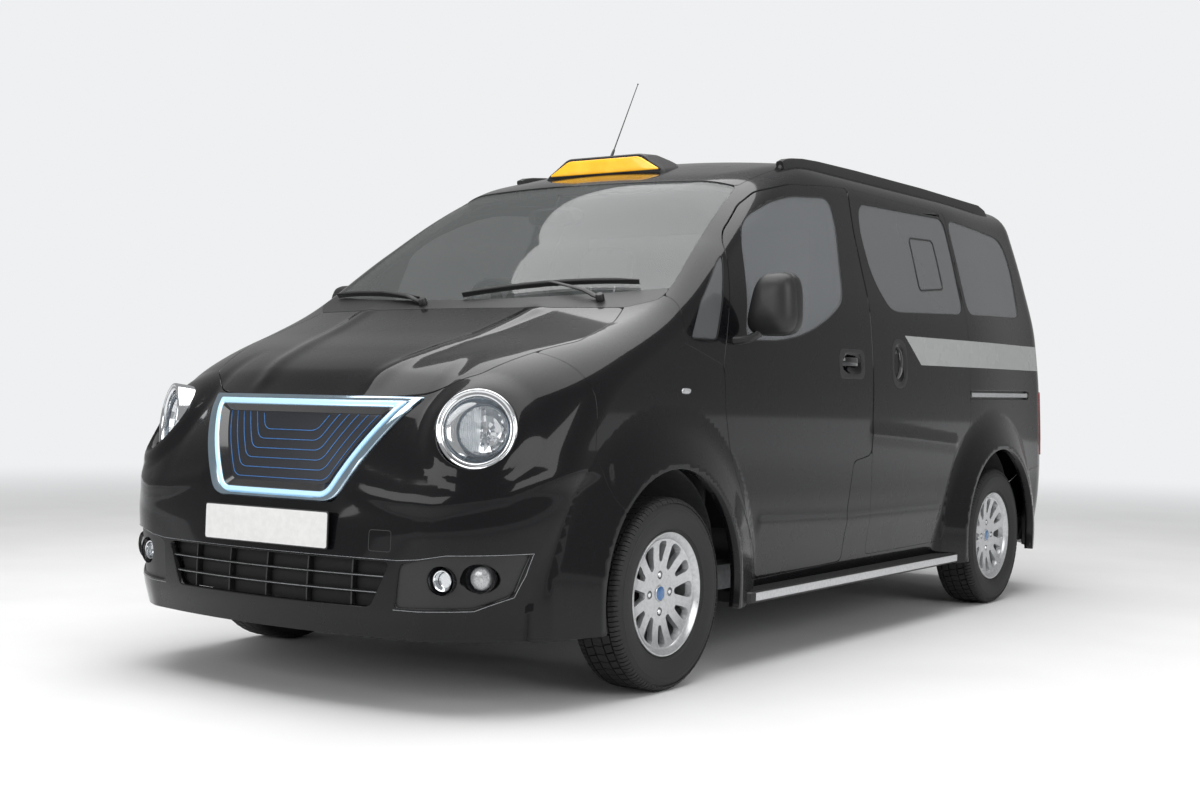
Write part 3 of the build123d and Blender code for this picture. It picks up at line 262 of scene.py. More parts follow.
def castSheet(origins, directions, reach=1500.0):
    # a grid of rays from inside the body out to its skin
    rows, columns = origins.shape[:2]
    o, v = origins.reshape(-1, 3), directions.reshape(-1, 3)
    v = v / np.linalg.norm(v, axis=1, keepdims=True)
    low, high = np.zeros(len(o)), np.full(len(o), reach)
    for _ in range(20):
        middle = (low + high) / 2
        out = bodyField(o + v * middle[:, None]) > 0
        high, low = np.where(out, middle, high), np.where(out, low, middle)
    points = o + v * ((low + high) / 2)[:, None]
    normals = fieldNormals(points)
    index = np.arange(rows * columns).reshape(rows, columns)
    a, b, c, e = index[:-1, :-1].ravel(), index[:-1, 1:].ravel(), index[1:, 1:].ravel(), index[1:,
            :-1].ravel()
    tris = np.concatenate([np.stack([a, b, c], 1), np.stack([a, c, e], 1)])
    face = np.cross(points[tris[:, 1]] - points[tris[:, 0]], points[tris[:, 2]] - points[tris[:, 0]])
    if (face * normals[tris[:, 0]]).sum() < 0:
        tris = tris[:, ::-1]
    return dict(points=points, normals=normals, tris=tris)


def cutPanel(sheet, s, depth, lip=1.5, sink=0.0):
    # the part of a sheet where s < 0, as a closed panel of the given depth
    p, n, tris = sheet["points"], sheet["normals"], sheet["tris"]
    inside = s < 0
    count = inside[tris].sum(1)
    whole = tris[count == 3]
    cuts = []
    for wanted, oddIn in ((1, True), (2, False)):
        t = tris[count == wanted]
        odd = np.argmax(inside[t] == oddIn, axis=1)
        cuts.append(np.take_along_axis(t, (odd[:, None] + np.arange(3)) % 3, axis=1))
    one, two = cuts
    total = len(p)
    pairs = np.concatenate([one[:, [0, 1]], one[:, [0, 2]], two[:, [0, 1]], two[:, [0, 2]]])
    keys = pairs.min(1).astype(np.int64) * total + pairs.max(1)
    unique, where = np.unique(keys, return_inverse=True)
    i, j = (unique // total).astype(int), (unique % total).astype(int)
    t = np.clip(s[i] / (s[i] - s[j]), 0.001, 0.999)[:, None]
    p = np.concatenate([p, p[i] * (1 - t) + p[j] * t])
    extra = n[i] * (1 - t) + n[j] * t
    n = np.concatenate([n, extra / np.linalg.norm(extra, axis=1, keepdims=True)])
    where = where.reshape(-1) + total
    a, b, c, e = np.split(where, [len(one), 2 * len(one), 2 * len(one) + len(two)])
    faces = np.concatenate([whole, np.stack([one[:, 0], a, b], 1), np.stack([c, two[:, 1], two[:, 2]], 1),
                            np.stack([c, two[:, 2], e], 1)])
    used, faces = np.unique(faces, return_inverse=True)
    faces = faces.reshape(-1, 3)
    p, n = p[used] - n[used] * sink, n[used]
    m = len(p)
    edges = np.concatenate([faces[:, [0, 1]], faces[:, [1, 2]], faces[:, [2, 0]]])
    forward = edges[:, 0].astype(np.int64) * m + edges[:, 1]
    backward = edges[:, 1].astype(np.int64) * m + edges[:, 0]
    rim = edges[~np.isin(forward, backward)]
    along = p[rim[:, 1]] - p[rim[:, 0]]
    along /= np.linalg.norm(along, axis=1, keepdims=True) + 1e-9
    out = np.zeros_like(p)
    for k in (0, 1):
        np.add.at(out, rim[:, k], np.cross(along, n[rim[:, 0]]))
    rimPoints = np.unique(rim)
    out[rimPoints] /= np.linalg.norm(out[rimPoints], axis=1, keepdims=True) + 1e-9
    place = np.full(m, -1)
    place[rimPoints] = np.arange(len(rimPoints))
    q, o, up = p[rimPoints], out[rimPoints], n[rimPoints]
    ring1, ring2 = q + lip * (o - up), q + lip * o - depth * up
    inner = p - depth * n
    inner[rimPoints] = ring2
    points = np.concatenate([p, ring1, inner])
    r0, r1 = rim[:, 0], rim[:, 1]
    a1, b1, a2, b2 = place[r0] + m, place[r1] + m, r0 + m + len(q), r1 + m + len(q)
    quads = np.concatenate([np.stack([r0, a1, b1, r1], 1), np.stack([a1, a2, b2, b1], 1)])
    back = faces[:, ::-1] + m + len(q)
    lean = np.zeros_like(p)
    lean[rimPoints] = (o + up) / math.sqrt(2)
    n0, n1 = np.stack([n[r0], lean[r0], lean[r1], n[r1]], 1), np.stack([lean[r0], out[r0], out[r1], lean[r1]],
            1)
    loopNormals = np.concatenate([n[faces].reshape(-1, 3), n0.reshape(-1, 3), n1.reshape(-1, 3),
                                  -n[faces[:, ::-1]].reshape(-1, 3)])
    kinds = np.concatenate([np.zeros(len(faces), int), np.zeros(len(quads), int), np.ones(len(back), int)])
    return dict(points=points, faces=[list(f) for f in faces]
                      + [list(f) for f in quads] + [list(f) for f in back],
                normals=loopNormals, kinds=kinds)


def mirrorPanel(panel):
    flip = np.array([-1, 1, 1])
    normals, faces, k = [], [], 0
    for face in panel["faces"]:
        faces.append(face[::-1])
        normals.append(panel["normals"][k:k + len(face)][::-1])
        k += len(face)
    return dict(points=panel["points"] * flip, faces=faces, normals=np.concatenate(normals) * flip,
                kinds=panel["kinds"])


def joinPanels(*panels):
    faces, start = [], 0
    for panel in panels:
        faces += [[v + start for v in face] for face in panel["faces"]]
        start += len(panel["points"])
    return dict(points=np.concatenate([p["points"] for p in panels]), faces=faces,
                normals=np.concatenate([p["normals"] for p in panels]),
                kinds=np.concatenate([p["kinds"] for p in panels]))


def makeMesh(name, points, faces, materials, kinds=None, normals=None, smooth=True):
    mesh = bpy.data.meshes.new(name)
    mesh.from_pydata(toFrame(points).tolist(), [], [list(map(int, f)) for f in faces])
    for material in materials:
        mesh.materials.append(material)
    if kinds is not None:
        mesh.polygons.foreach_set("material_index", np.asarray(kinds, np.int32))
    mesh.polygons.foreach_set("use_smooth", np.full(len(mesh.polygons), smooth))
    if normals is not None:
        mesh.normals_split_custom_set(np.asarray(normals).tolist())
    mesh.update()
    piece = bpy.data.objects.new(name, mesh)
    bpy.context.scene.collection.objects.link(piece)
    return piece


def panelPiece(name, panel, materials, body, slot, *nodes):
    piece = makeMesh(name, panel["points"], panel["faces"], materials, panel["kinds"], panel["normals"])
    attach(piece, body)
    if nodes:
        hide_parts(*nodes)
    return piece


# materials

def newMaterial(name, colour, roughness=0.5, metallic=0.0, **sockets):
    material = bpy.data.materials.new(name)
    material.use_nodes = True
    tree = material.node_tree
    shader = tree.nodes["Principled BSDF"]
    shader.inputs["Base Color"].default_value = (*colour, 1)
    shader.inputs["Roughness"].default_value = roughness
    shader.inputs["Metallic"].default_value = metallic
    for key, value in sockets.items():
        shader.inputs[key.replace("_", " ")].default_value = value
    material.diffuse_color = (*colour, 1)
    return material, tree, shader


def addNoise(tree, scale, detail=3.0, stretch=(1, 1, 1)):
    coords, mapping = tree.nodes.new("ShaderNodeTexCoord"), tree.nodes.new("ShaderNodeMapping")
    mapping.inputs["Scale"].default_value = stretch
    texture = tree.nodes.new("ShaderNodeTexNoise")
    texture.inputs["Scale"].default_value = scale
    texture.inputs["Detail"].default_value = detail
    tree.links.new(coords.outputs["Object"], mapping.inputs["Vector"])
    tree.links.new(mapping.outputs["Vector"], texture.inputs["Vector"])
    return texture.outputs["Fac"]


def varyColour(tree, shader, factor, first, second, low=0.35, high=0.65):
    mix = tree.nodes.new("ShaderNodeValToRGB")
    mix.color_ramp.elements[0].position, mix.color_ramp.elements[1].position = low, high
    mix.color_ramp.elements[0].color, mix.color_ramp.elements[1].color = (*first, 1), (*second, 1)
    tree.links.new(factor, mix.inputs["Fac"])
    tree.links.new(mix.outputs["Color"], shader.inputs["Base Color"])
    return mix


def varyRoughness(tree, shader, factor, low, high):
    span = tree.nodes.new("ShaderNodeMapRange")
    span.inputs["To Min"].default_value, span.inputs["To Max"].default_value = low, high
    tree.links.new(factor, span.inputs["Value"])
    tree.links.new(span.outputs["Result"], shader.inputs["Roughness"])


def addBump(tree, shader, height, strength, distance):
    bump = tree.nodes.new("ShaderNodeBump")
    bump.inputs["Strength"].default_value, bump.inputs["Distance"].default_value = strength, distance
    tree.links.new(height, bump.inputs["Height"])
    tree.links.new(bump.outputs["Normal"], shader.inputs["Normal"])


def mathNode(tree, operation, a, b=None, c=None):
    node = tree.nodes.new("ShaderNodeMath")
    node.operation = operation
    for socket, value in zip(node.inputs, (a, b, c)):
        if value is None:
            continue
        if isinstance(value, (int, float)):
            socket.default_value = value
        else:
            tree.links.new(value, socket)
    return node.outputs[0]


paint = dict(black=(0.004, 0.004, 0.0048), flake=(0.0075, 0.0075, 0.009), silver=(0.36, 0.37, 0.37),
             bandLow=1.047, bandHigh=1.162, bandFootD=1943, bandHeadD=1797)


def makePaint(name, banded):
    material, tree, shader = newMaterial(name, paint["black"], 0.3, 0.0, Coat_Weight=0.8, Coat_Roughness=0.05,
                                         Coat_IOR=1.36, Specular_IOR_Level=0.05)
    flake = addNoise(tree, 900, 2)
    mix = varyColour(tree, shader, flake, paint["black"], paint["flake"], 0.45, 0.7)
    varyRoughness(tree, shader, addNoise(tree, 7, 4), 0.22, 0.32)
    if banded:
        coords, split = tree.nodes.new("ShaderNodeTexCoord"), tree.nodes.new("ShaderNodeSeparateXYZ")
        tree.links.new(coords.outputs["Object"], split.inputs[0])
        y, z = split.outputs["Y"], split.outputs["Z"]
        low, high = paint["bandLow"], paint["bandHigh"]
        footY, headY = ((paint[k] + frontAxleY) * 0.001 for k in ("bandFootD", "bandHeadD"))
        inBand = mathNode(tree, "MULTIPLY", mathNode(tree, "GREATER_THAN", z, low),
                          mathNode(tree, "LESS_THAN", z, high))
        slant = mathNode(tree, "MULTIPLY_ADD", mathNode(tree, "SUBTRACT", z, low),
                         (headY - footY) / (high - low), footY)
        inBand = mathNode(tree, "MULTIPLY", inBand, mathNode(tree, "GREATER_THAN", y, slant))
        stripe = tree.nodes.new("ShaderNodeMix")
        stripe.data_type = "RGBA"
        tree.links.new(inBand, stripe.inputs["Factor"])
        tree.links.new(mix.outputs["Color"], stripe.inputs["A"])
        stripe.inputs["B"].default_value = (*paint["silver"], 1)
        tree.links.new(stripe.outputs["Result"], shader.inputs["Base Color"])
    return material


blackPaint = makePaint("glossBlackPaint", False)
bandPaint = makePaint("glossBlackPaintWithBand", True)

innerTrim, tree, shader = newMaterial("innerTrim", (0.018, 0.018, 0.02), 0.6)
grain = addNoise(tree, 260, 4)
varyColour(tree, shader, grain, (0.015, 0.015, 0.017), (0.026, 0.026, 0.028))
varyRoughness(tree, shader, grain, 0.5, 0.7)
addBump(tree, shader, grain, 0.25, 0.001)

satinBlack, tree, shader = newMaterial("satinBlackMoulding", (0.012, 0.012, 0.013), 0.42)
grain = addNoise(tree, 420, 3)
varyColour(tree, shader, grain, (0.010, 0.010, 0.011), (0.017, 0.017, 0.018))
varyRoughness(tree, shader, grain, 0.36, 0.5)
addBump(tree, shader, grain, 0.15, 0.0006)


def makeGlass(name, paneColour, cover, roughness=0.03):
    material, tree, shader = newMaterial(name, paneColour, roughness, 0.0, IOR=1.6, Alpha=cover,
            Specular_IOR_Level=0.8)
    varyRoughness(tree, shader, addNoise(tree, 5, 3), roughness * 0.6, roughness * 1.6)
    return material


screenGlass = makeGlass("screenGlass", (0.13, 0.14, 0.14), 0.36)
# the door and privacy glass are a lightened grey: partly the glass's own tint, partly a painted reflection of
# the bright studio
doorGlass = makeGlass("doorGlass", (0.16, 0.17, 0.18), 0.72)
privacyGlass = makeGlass("privacyGlass", (0.105, 0.11, 0.115), 0.94)

chrome, tree, shader = newMaterial("brightPlating", (0.78, 0.8, 0.82), 0.08, 1.0)
varyRoughness(tree, shader, addNoise(tree, 30, 4), 0.05, 0.14)

amberLens, tree, shader = newMaterial("amberLens", (0.93, 0.45, 0.02), 0.25, 0.0, Coat_Weight=0.5,
        Emission_Strength=0.42,
                                      Emission_Color=(1.0, 0.5, 0.01, 1))
varyColour(tree, shader, addNoise(tree, 12, 2), (0.9, 0.42, 0.015), (0.98, 0.52, 0.04))

redLens, tree, shader = newMaterial("redLens", (0.36, 0.008, 0.01), 0.15, 0.0, Coat_Weight=1.0)
varyColour(tree, shader, addNoise(tree, 40, 2, (1, 1, 6)), (0.28, 0.006, 0.008), (0.46, 0.012, 0.014))

plateWhite, tree, shader = newMaterial("plateWhite", (0.78, 0.78, 0.77), 0.35, 0.0, Coat_Weight=0.5)
varyColour(tree, shader, addNoise(tree, 60, 3), (0.75, 0.75, 0.74), (0.8, 0.8, 0.79))

clearLens = makeGlass("clearLens", (0.5, 0.52, 0.54), 0.07, 0.02)

reflector, tree, shader = newMaterial("reflector", (0.8, 0.82, 0.84), 0.1, 1.0)
varyRoughness(tree, shader, addNoise(tree, 50, 3), 0.06, 0.16)

# the ice-blue line's emission is a painted glow: this grille trim is no lamp
iceBluePaintedGlow, tree, shader = newMaterial("iceBlueLinePaintedGlow", (0.5, 0.72, 0.88), 0.2, 0.3, Emission_Strength=0.45)
shader.inputs["Emission Color"].default_value = (0.4, 0.7, 0.95, 1)
varyRoughness(tree, shader, addNoise(tree, 40, 2), 0.15, 0.3)

# sheets of skin

beltOrigin = dict(front=-100, tail=3000, axisZ=700, foot=205)


def beltSheet(columns, rowStep=13, lift=68, liftStep=0.95):
    # columns: station of the ray's origin and its azimuth, 0 towards the nose, 90 towards the left
    rows = [(z, 0.0) for z in np.arange(beltOrigin["foot"], beltOrigin["axisZ"], rowStep)]
    rows += [(beltOrigin["axisZ"], e) for e in np.arange(0, lift, liftStep)]
    origins, directions = np.zeros((len(rows), len(columns), 3)), np.zeros((len(rows), len(columns), 3))
    for j, (z, elevation) in enumerate(rows):
        e = math.radians(elevation)
        for k, (d, azimuth) in enumerate(columns):
            a = math.radians(azimuth)
            origins[j, k] = (0, d, z)
            directions[j, k] = (math.sin(a) * math.cos(e), -math.cos(a) * math.cos(e), math.sin(e))
    return castSheet(origins, directions)


def topSheet(left, lead, tail, step=15):
    xs, ds = np.linspace(-left, left, int(2 * left / step) + 1), np.arange(lead, tail, step)
    origins = np.stack(np.broadcast_arrays(xs[None, :], ds[:, None], 880.0), axis=-1)
    return castSheet(origins, np.broadcast_to([0.0, 0.0, 1.0], origins.shape))


# outlines of the panels, as d,z from the side, x,d from above or x,z from the front and rear
doorOutline = [(586, 284), (519, 534), (414, 725), (378, 861), (366, 1015), (478, 1422), (531, 1476),
               (700, 1584),
               (837, 1646), (1063, 1696), (1374, 1725), (1557, 1734), (1509, 1552), (1490, 1219), (1487, 693),
               (1335, 672), (1299, 493), (1299, 296)]
doorWindow = [(510, 1100), (596, 1478), (690, 1548), (886, 1618), (1062, 1655), (1368, 1680), (1380, 1600),
              (1294, 1310), (1258, 1259), (1140, 1200), (1021, 1156), (902, 1126), (753, 1106)]
sliderOutline = [(1500, 305), (1493, 700), (1496, 1219), (1515, 1552), (1563, 1734), (2500, 1724),
                 (2455, 1312),
                 (2452, 955), (2467, 795), (2312, 690), (2225, 543), (2216, 394), (2183, 309)]
sliderWindow = [(1622, 1686), (1566, 1556), (1583, 1384), (1664, 1276), (1735, 1250), (2440, 1272),
                (2480, 1704)]
quarterWindow = [(2514, 1704), (2932, 1688), (3160, 1674), (3222, 1620), (3240, 1506), (3206, 1308),
                 (3165, 1290),
                 (2484, 1274)]
quarterlight = [(165, 1096), (330, 1096), (452, 1395), (400, 1362), (236, 1215)]
wingOutline = [(-250, 100), (-250, 560), (-300, 600), (-362, 739), (-352, 900), (-385, 1060), (-385, 1300),
               (135, 1300), (150, 1230), (115, 1085), (366, 1015), (378, 861), (414, 725), (519, 534),
               (586, 284),
               (586, 100)]
clipOutline = [(-1100, 100), (-250, 100), (-250, 560), (-300, 600), (-362, 739), (-352, 900), (-385, 1060),
               (-385, 1300), (-1100, 1300)]
rearBumperOutline = [(3180, 100), (3180, 560), (3400, 590), (4000, 590), (4000, 100)]
trackOutline = [(2462, 906), (3262, 906), (3262, 950), (2462, 950)]
bonnetPlan = planOutline([(435, -640), (560, -548), (640, -367), (700, -253), (700, -64), (665, 38)], -718,
                         -62)
cowlPlan = planOutline([(665, 38), (745, 120), (745, 190)], -62, -2)
screenPlan = planOutline([(745, 190), (628, 800)], -2, 662)
roofPlan = planOutline([(628, 800), (622, 1100), (610, 3340), (560, 3620)], 662, 3640)
tailgateRear = bothHalves([(600, 486), (690, 560), (705, 1000), (690, 1290), (600, 1690), (520, 1742)])
tailgateWindow = bothHalves([(560, 1165), (600, 1200), (520, 1610), (470, 1650)])
grilleFront = bothHalves([(438, 898), (251, 590)])
lowerFront = bothHalves([(468, 436), (404, 300)])
fogPocket = [(492, 430), (640, 462), (812, 468), (775, 345), (700, 310), (480, 304)]
lampCorner = dict(inner=712, foot=642, head=945, station=3440)

headlamp = dict(centre=(652, -672, 811), yaw=28.0, pitch=9.0, radius=119.0)
yaw, pitch = math.radians(headlamp["yaw"]), math.radians(headlamp["pitch"])
lampAxis = np.array([math.sin(yaw) * math.cos(pitch), -math.cos(yaw) * math.cos(pitch), math.sin(pitch)])


def lampRadius(x, d, z):
    # distance from the axis of the nearer headlamp
    v = np.stack([np.abs(x), d, z], axis=-1) - np.array(headlamp["centre"], float)
    return np.linalg.norm(np.cross(v, lampAxis), axis=-1)


def sideCut(p, outline, corner=30):
    return insideDistance(p[:, 1], p[:, 2], roundCorners(outline, corner))


def planCut(p, outline, corner=18):
    return insideDistance(p[:, 0], p[:, 1], roundCorners(outline, corner, 4))


def frontCut(p, outline, corner=18):
    return insideDistance(p[:, 0], p[:, 2], roundCorners(outline, corner))


def archCut(p):
    return np.maximum(*[archSize["opening"] - np.hypot(p[:, 1] - c, p[:, 2] - archSize["z"])
                        for c, _ in arches.values()])


def footCut(p):
    return 215.5 - p[:, 2]


shut = dict(opening=2.6, fixed=1.4, lip=1.6, wall=38.0)     # half a shut line, and a panel's depth

# raised and sunken forms of the skin
podForm = dict(rise=16, inner=122, outer=190)
skinDetails.append(lambda x, d, z: podForm["rise"] * (1 - ramp(lampRadius(x, d, z), podForm["inner"],
        podForm["outer"]))
                   * (d < -350))

bonnetCreases = [[(235, -640), (330, -300), (372, -60)], [(500, -560), (575, -330), (600, -60)]]
skinDetails.append(lambda x, d, z: (z > 880) * (d < 60) * 7 * ridge(lineDistance(x, d, bonnetCreases[0]), 34))

towCover = [(392, 462), (468, 462), (468, 522), (392, 522)]
bumperCrease = [(330, 640), (480, 612), (600, 606), (760, 640), (860, 700)]
skinDetails.append(lambda x, d, z: (d < -300) * 6 * ridge(lineDistance(x, z, bumperCrease), 30))

swages = dict(low=[(640, 470), (1290, 446), (2150, 436)], slide=[(1500, 770), (1900, 745), (2300, 716)])
skinDetails.append(lambda x, d, z: (x > 700) * 5 * ridge(lineDistance(d, z, swages["low"]), 30))
skinDetails.append(lambda x, d, z: (x > 700) * 3 * ridge(lineDistance(d, z, swages["slide"]), 26))

handleCups = [dict(centre=(1310, 1038), half=(92, 44), depth=15),
              dict(centre=(1735, 1048), half=(60, 88), depth=15)]


def handleCup(x, d, z, cup):
    (cd, cz), (hd, hz) = cup["centre"], cup["half"]
    r = np.hypot((d - cd) / hd, (z - cz) / hz)
    return -cup["depth"] * (1 - ramp(r, 0.45, 1.0)) * (x > 600)


for cup in handleCups:
    skinDetails.append(lambda x, d, z, cup=cup: handleCup(x, d, z, cup))

print("skin sheets")
sideColumns = ([(beltOrigin["front"], a) for a in np.arange(60, 90, 1.0)]
               + [(d, 90) for d in np.arange(beltOrigin["front"], beltOrigin["tail"], 14)]
               + [(beltOrigin["tail"], a) for a in np.arange(90, 146, 1.3)])
sideSheet = beltSheet(sideColumns)
noseSheet = beltSheet([(beltOrigin["front"], a) for a in np.arange(-80, 80.5, 0.9)], 11, 62)
tailSheet = beltSheet([(beltOrigin["tail"], a) for a in np.arange(96, 264.5, 1.4)], 14, 34)
xs, zs = np.linspace(-722, 722, 104), np.arange(470, 1760, 14)
origins = np.stack(np.broadcast_arrays(xs[None, :], 3000.0, zs[:, None]), axis=-1)
gateSheet = castSheet(origins, np.broadcast_to([0.0, 1.0, 0.0], origins.shape))
bonnetSheet = topSheet(725, -765, 70, 12)
screenSheet = topSheet(765, -90, 860)
roofSheet = topSheet(660, 620, 3680)

print("panels")


def mainCuts(p):
    # distance into the pieces that lie on top: bonnet, cowl, screen and roof
    bonnet = planCut(p, bonnetPlan) - shut["opening"]
    cowl, screen, roof = planCut(p, cowlPlan) - shut["fixed"], planCut(p, screenPlan), planCut(p,
            roofPlan) - shut["fixed"]
    return bonnet, cowl, screen, roof


p = sideSheet["points"]
bonnetCut, cowlCut, screenCut, roofCut = mainCuts(p)
doorCut, sliderCut = sideCut(p, doorOutline), sideCut(p, sliderOutline)
windowCuts = {"door": sideCut(p, doorWindow, 60), "slider": sideCut(p, sliderWindow, 70),
              "quarter": sideCut(p, quarterWindow, 70), "light": sideCut(p, quarterlight, 24)}
tailgateCut = np.where(p[:, 1] > 3250, frontCut(p, tailgateRear, 40), 500)
lampCut = np.maximum.reduce([lampCorner["inner"] - np.abs(p[:, 0]), lampCorner["foot"] - p[:, 2],
                             p[:, 2] - lampCorner["head"], lampCorner["station"] - p[:, 1]])
wingCut, clipCut, bumperCut = sideCut(p, wingOutline), sideCut(p, clipOutline), sideCut(p, rearBumperOutline)
opening, fixed = shut["opening"], shut["fixed"]
top = np.maximum.reduce([-bonnetCut, -cowlCut, -screenCut, -roofCut])
doorPanel = cutPanel(sideSheet, np.maximum.reduce([doorCut + opening, -windowCuts["door"], footCut(p)]),
                     shut["wall"], shut["lip"])
sliderPanel = cutPanel(sideSheet, np.maximum.reduce([sliderCut + fixed, -windowCuts["slider"], footCut(p),
        archCut(p)]),
                       shut["wall"], shut["lip"])
wingPanel = cutPanel(sideSheet, np.maximum.reduce([wingCut + fixed, -doorCut + opening, top, archCut(p),
        footCut(p)]),
                     shut["wall"], shut["lip"])
framePanel = cutPanel(sideSheet, np.maximum.reduce([
    -doorCut + opening, -sliderCut + fixed, -wingCut + fixed, -clipCut + fixed, -bumperCut + fixed, top,
    -windowCuts["quarter"], -windowCuts["light"], -tailgateCut + opening, -lampCut + fixed, archCut(p),
    footCut(p),
    -sideCut(p, trackOutline, 8)]), shut["wall"], shut["lip"])
sidePanes = [cutPanel(sideSheet, windowCuts[k] + 0.5, 4.5, 0.3, 4.2) for k in ("slider", "quarter", "light")]
doorPane = cutPanel(sideSheet, windowCuts["door"] + 0.5, 4.5, 0.3, 4.2)

p = noseSheet["points"]
bonnetCut = planCut(p, bonnetPlan) - opening
fogCut = np.minimum(frontCut(p, fogPocket), frontCut(p, [(-x, z) for x, z in fogPocket]))
clipPanel = cutPanel(noseSheet, np.maximum.reduce([
    sideCut(p, clipOutline) + fixed, -bonnetCut, -frontCut(p, grilleFront, 22), -frontCut(p, lowerFront, 22),
    -fogCut,
    headlamp["radius"] + 1 - lampRadius(p[:, 0], p[:, 1], p[:, 2]), archCut(p), footCut(p)]), 26.0,
    shut["lip"])

p = tailSheet["points"]
gateCut = frontCut(p, tailgateRear, 40)
lampCut = np.maximum.reduce([lampCorner["inner"] - np.abs(p[:, 0]), lampCorner["foot"] - p[:, 2],
                             p[:, 2] - lampCorner["head"], lampCorner["station"] - p[:, 1]])
rearBumper = cutPanel(tailSheet, np.maximum.reduce([sideCut(p, rearBumperOutline) + fixed, -gateCut + opening,
                                                    archCut(p), footCut(p)]), shut["wall"], shut["lip"])
tailLamps = cutPanel(tailSheet, np.maximum(lampCut + 2, -gateCut + opening + 3), 30.0, 2.5, -5.0)

p = gateSheet["points"]
gateCut, paneCut = frontCut(p, tailgateRear, 40), frontCut(p, tailgateWindow, 60)
gatePanel = cutPanel(gateSheet, np.maximum(gateCut + opening, -paneCut), shut["wall"], shut["lip"])
gatePane = cutPanel(gateSheet, paneCut + 0.5, 4.5, 0.3, 4.2)

p = bonnetSheet["points"]
bonnetPanel = cutPanel(bonnetSheet, planCut(p, bonnetPlan) + opening, 24.0, shut["lip"])
p = screenSheet["points"]
cowlPanel = cutPanel(screenSheet, np.maximum(planCut(p, cowlPlan) + fixed, -planCut(p, bonnetPlan) + opening),
                     30.0, 1)
screenPane = cutPanel(screenSheet, planCut(p, screenPlan) + 0.6, 4.8, 0.3, 4.2)
p = roofSheet["points"]
gateTop = np.where(p[:, 1] > 3250, frontCut(p, tailgateRear, 40), 500)
roofPanel = cutPanel(roofSheet, np.maximum(planCut(p, roofPlan) + fixed, -gateTop + opening), shut["wall"],
                     shut["lip"])

bothMaterials = [blackPaint, innerTrim]
banded = [bandPaint, innerTrim]
for side, turned in (("left", lambda panel: panel), ("right", mirrorPanel)):
    panelPiece(f"doorPanel{side.title()}", turned(doorPanel), bothMaterials, f"door_{side}", "paint",
               f"door_{side}")
    panelPiece(f"doorPane{side.title()}", turned(doorPane), [doorGlass, doorGlass], f"door_{side}",
               "screen_glass", f"door_{side}_glass")
    panelPiece(f"slidingDoor{side.title()}", turned(sliderPanel), banded, "body", "paint", f"slider_{side}")
    panelPiece(f"sideFrame{side.title()}", turned(framePanel), banded, "body", "paint", f"side_frame_{side}")
panelPiece("wings", joinPanels(wingPanel, mirrorPanel(wingPanel)), bothMaterials, "body", "paint",
           "front_wings")
panelPiece("frontClip", clipPanel, bothMaterials, "body", "paint", "front_clip")
panelPiece("rearBumper", rearBumper, bothMaterials, "body", "paint", "rear_bumper")
panelPiece("tailLampLenses", tailLamps, [redLens, redLens], "body", "red_lens", "tail_lamps")
panelPiece("tailgatePanel", gatePanel, bothMaterials, "tailgate", "paint", "tailgate")
panelPiece("tailgatePane", gatePane, [privacyGlass, privacyGlass], "tailgate", "privacy_glass",
           "tailgate_glass")
panelPiece("bonnetPanel", bonnetPanel, bothMaterials, "bonnet", "paint", "bonnet")
panelPiece("cowlPanel", cowlPanel, [satinBlack, satinBlack], "body", "black_trim", "cowl")
panelPiece("screenPane", screenPane, [screenGlass, screenGlass], "body", "screen_glass", "windscreen")
panelPiece("roofPanel", roofPanel, bothMaterials, "body", "paint", "roof_panel")
panes = joinPanels(*sidePanes, *[mirrorPanel(pane) for pane in sidePanes])
panelPiece("sidePanes", panes, [privacyGlass, privacyGlass], "body", "privacy_glass", "side_glass")

# builders for the smaller pieces: a shape is (points, faces) in millimetres

def finer(points, step):
    result = []
    for a, b in zip(points[:-1], points[1:]):
        a, b = np.array(a, float), np.array(b, float)
        count = max(1, int(math.ceil(np.linalg.norm(b - a) / step)))
        result += [tuple(a + (b - a) * k / count) for k in range(count)]
    return result + [tuple(points[-1])]


def onSkin(origins, way, lift=0.0):
    # points cast from inside on to the skin, lifted off it along its normals
    grid = np.array([origins] * 2, float)
    sheet = castSheet(grid, np.broadcast_to(np.array(way, float), grid.shape))
    n = len(origins)
    return sheet["points"][:n] + sheet["normals"][:n] * lift, sheet["normals"][:n]


def noseLine(points, lift=0.0):
    return onSkin([(x, -100.0, z) for x, z in points], (0, -1, 0), lift)


def topLine(points, lift=0.0):
    return onSkin([(x, d, 880.0) for x, d in points], (0, 0, 1), lift)


def sideLine(points, lift=0.0):
    return onSkin([(0.0, d, z) for d, z in points], (1, 0, 0), lift)


def sweep(path, outward, section, scales=None, closed=False):
    # a closed section of (out, across) points carried along a path
    path = np.asarray(path, float)
    outward = np.broadcast_to(np.asarray(outward, float), path.shape)
    along = np.roll(path, -1, 0) - np.roll(path, 1, 0) if closed else np.gradient(path, axis=0)
    along = along / np.linalg.norm(along, axis=1, keepdims=True)
    out = outward - along * (outward * along).sum(1, keepdims=True)
    out /= np.linalg.norm(out, axis=1, keepdims=True)
    across = np.cross(along, out)
    scales = np.ones(len(path)) if scales is None else np.asarray(scales, float)
    points = np.stack([path + scales[:, None] * (a * out + b * across) for a, b in section],
                      axis=1).reshape(-1, 3)
    m, n = len(section), len(path)
    faces = [[k * m + j, k * m + (j + 1) % m, (k + 1) % n * m + (j + 1) % m, (k + 1) % n * m + j]
             for k in range(n if closed else n - 1) for j in range(m)]
    if not closed:
        faces += [list(range(m))[::-1], [(n - 1) * m + j for j in range(m)]]
    return points, faces


def roundSection(halfOut, halfAcross, count=10, power=2.0):
    turns = [2 * math.pi * k / count for k in range(count)]
    return [(halfOut * math.copysign(abs(math.cos(t)) ** (2 / power), math.cos(t)),
             halfAcross * math.copysign(abs(math.sin(t)) ** (2 / power), math.sin(t))) for t in turns]


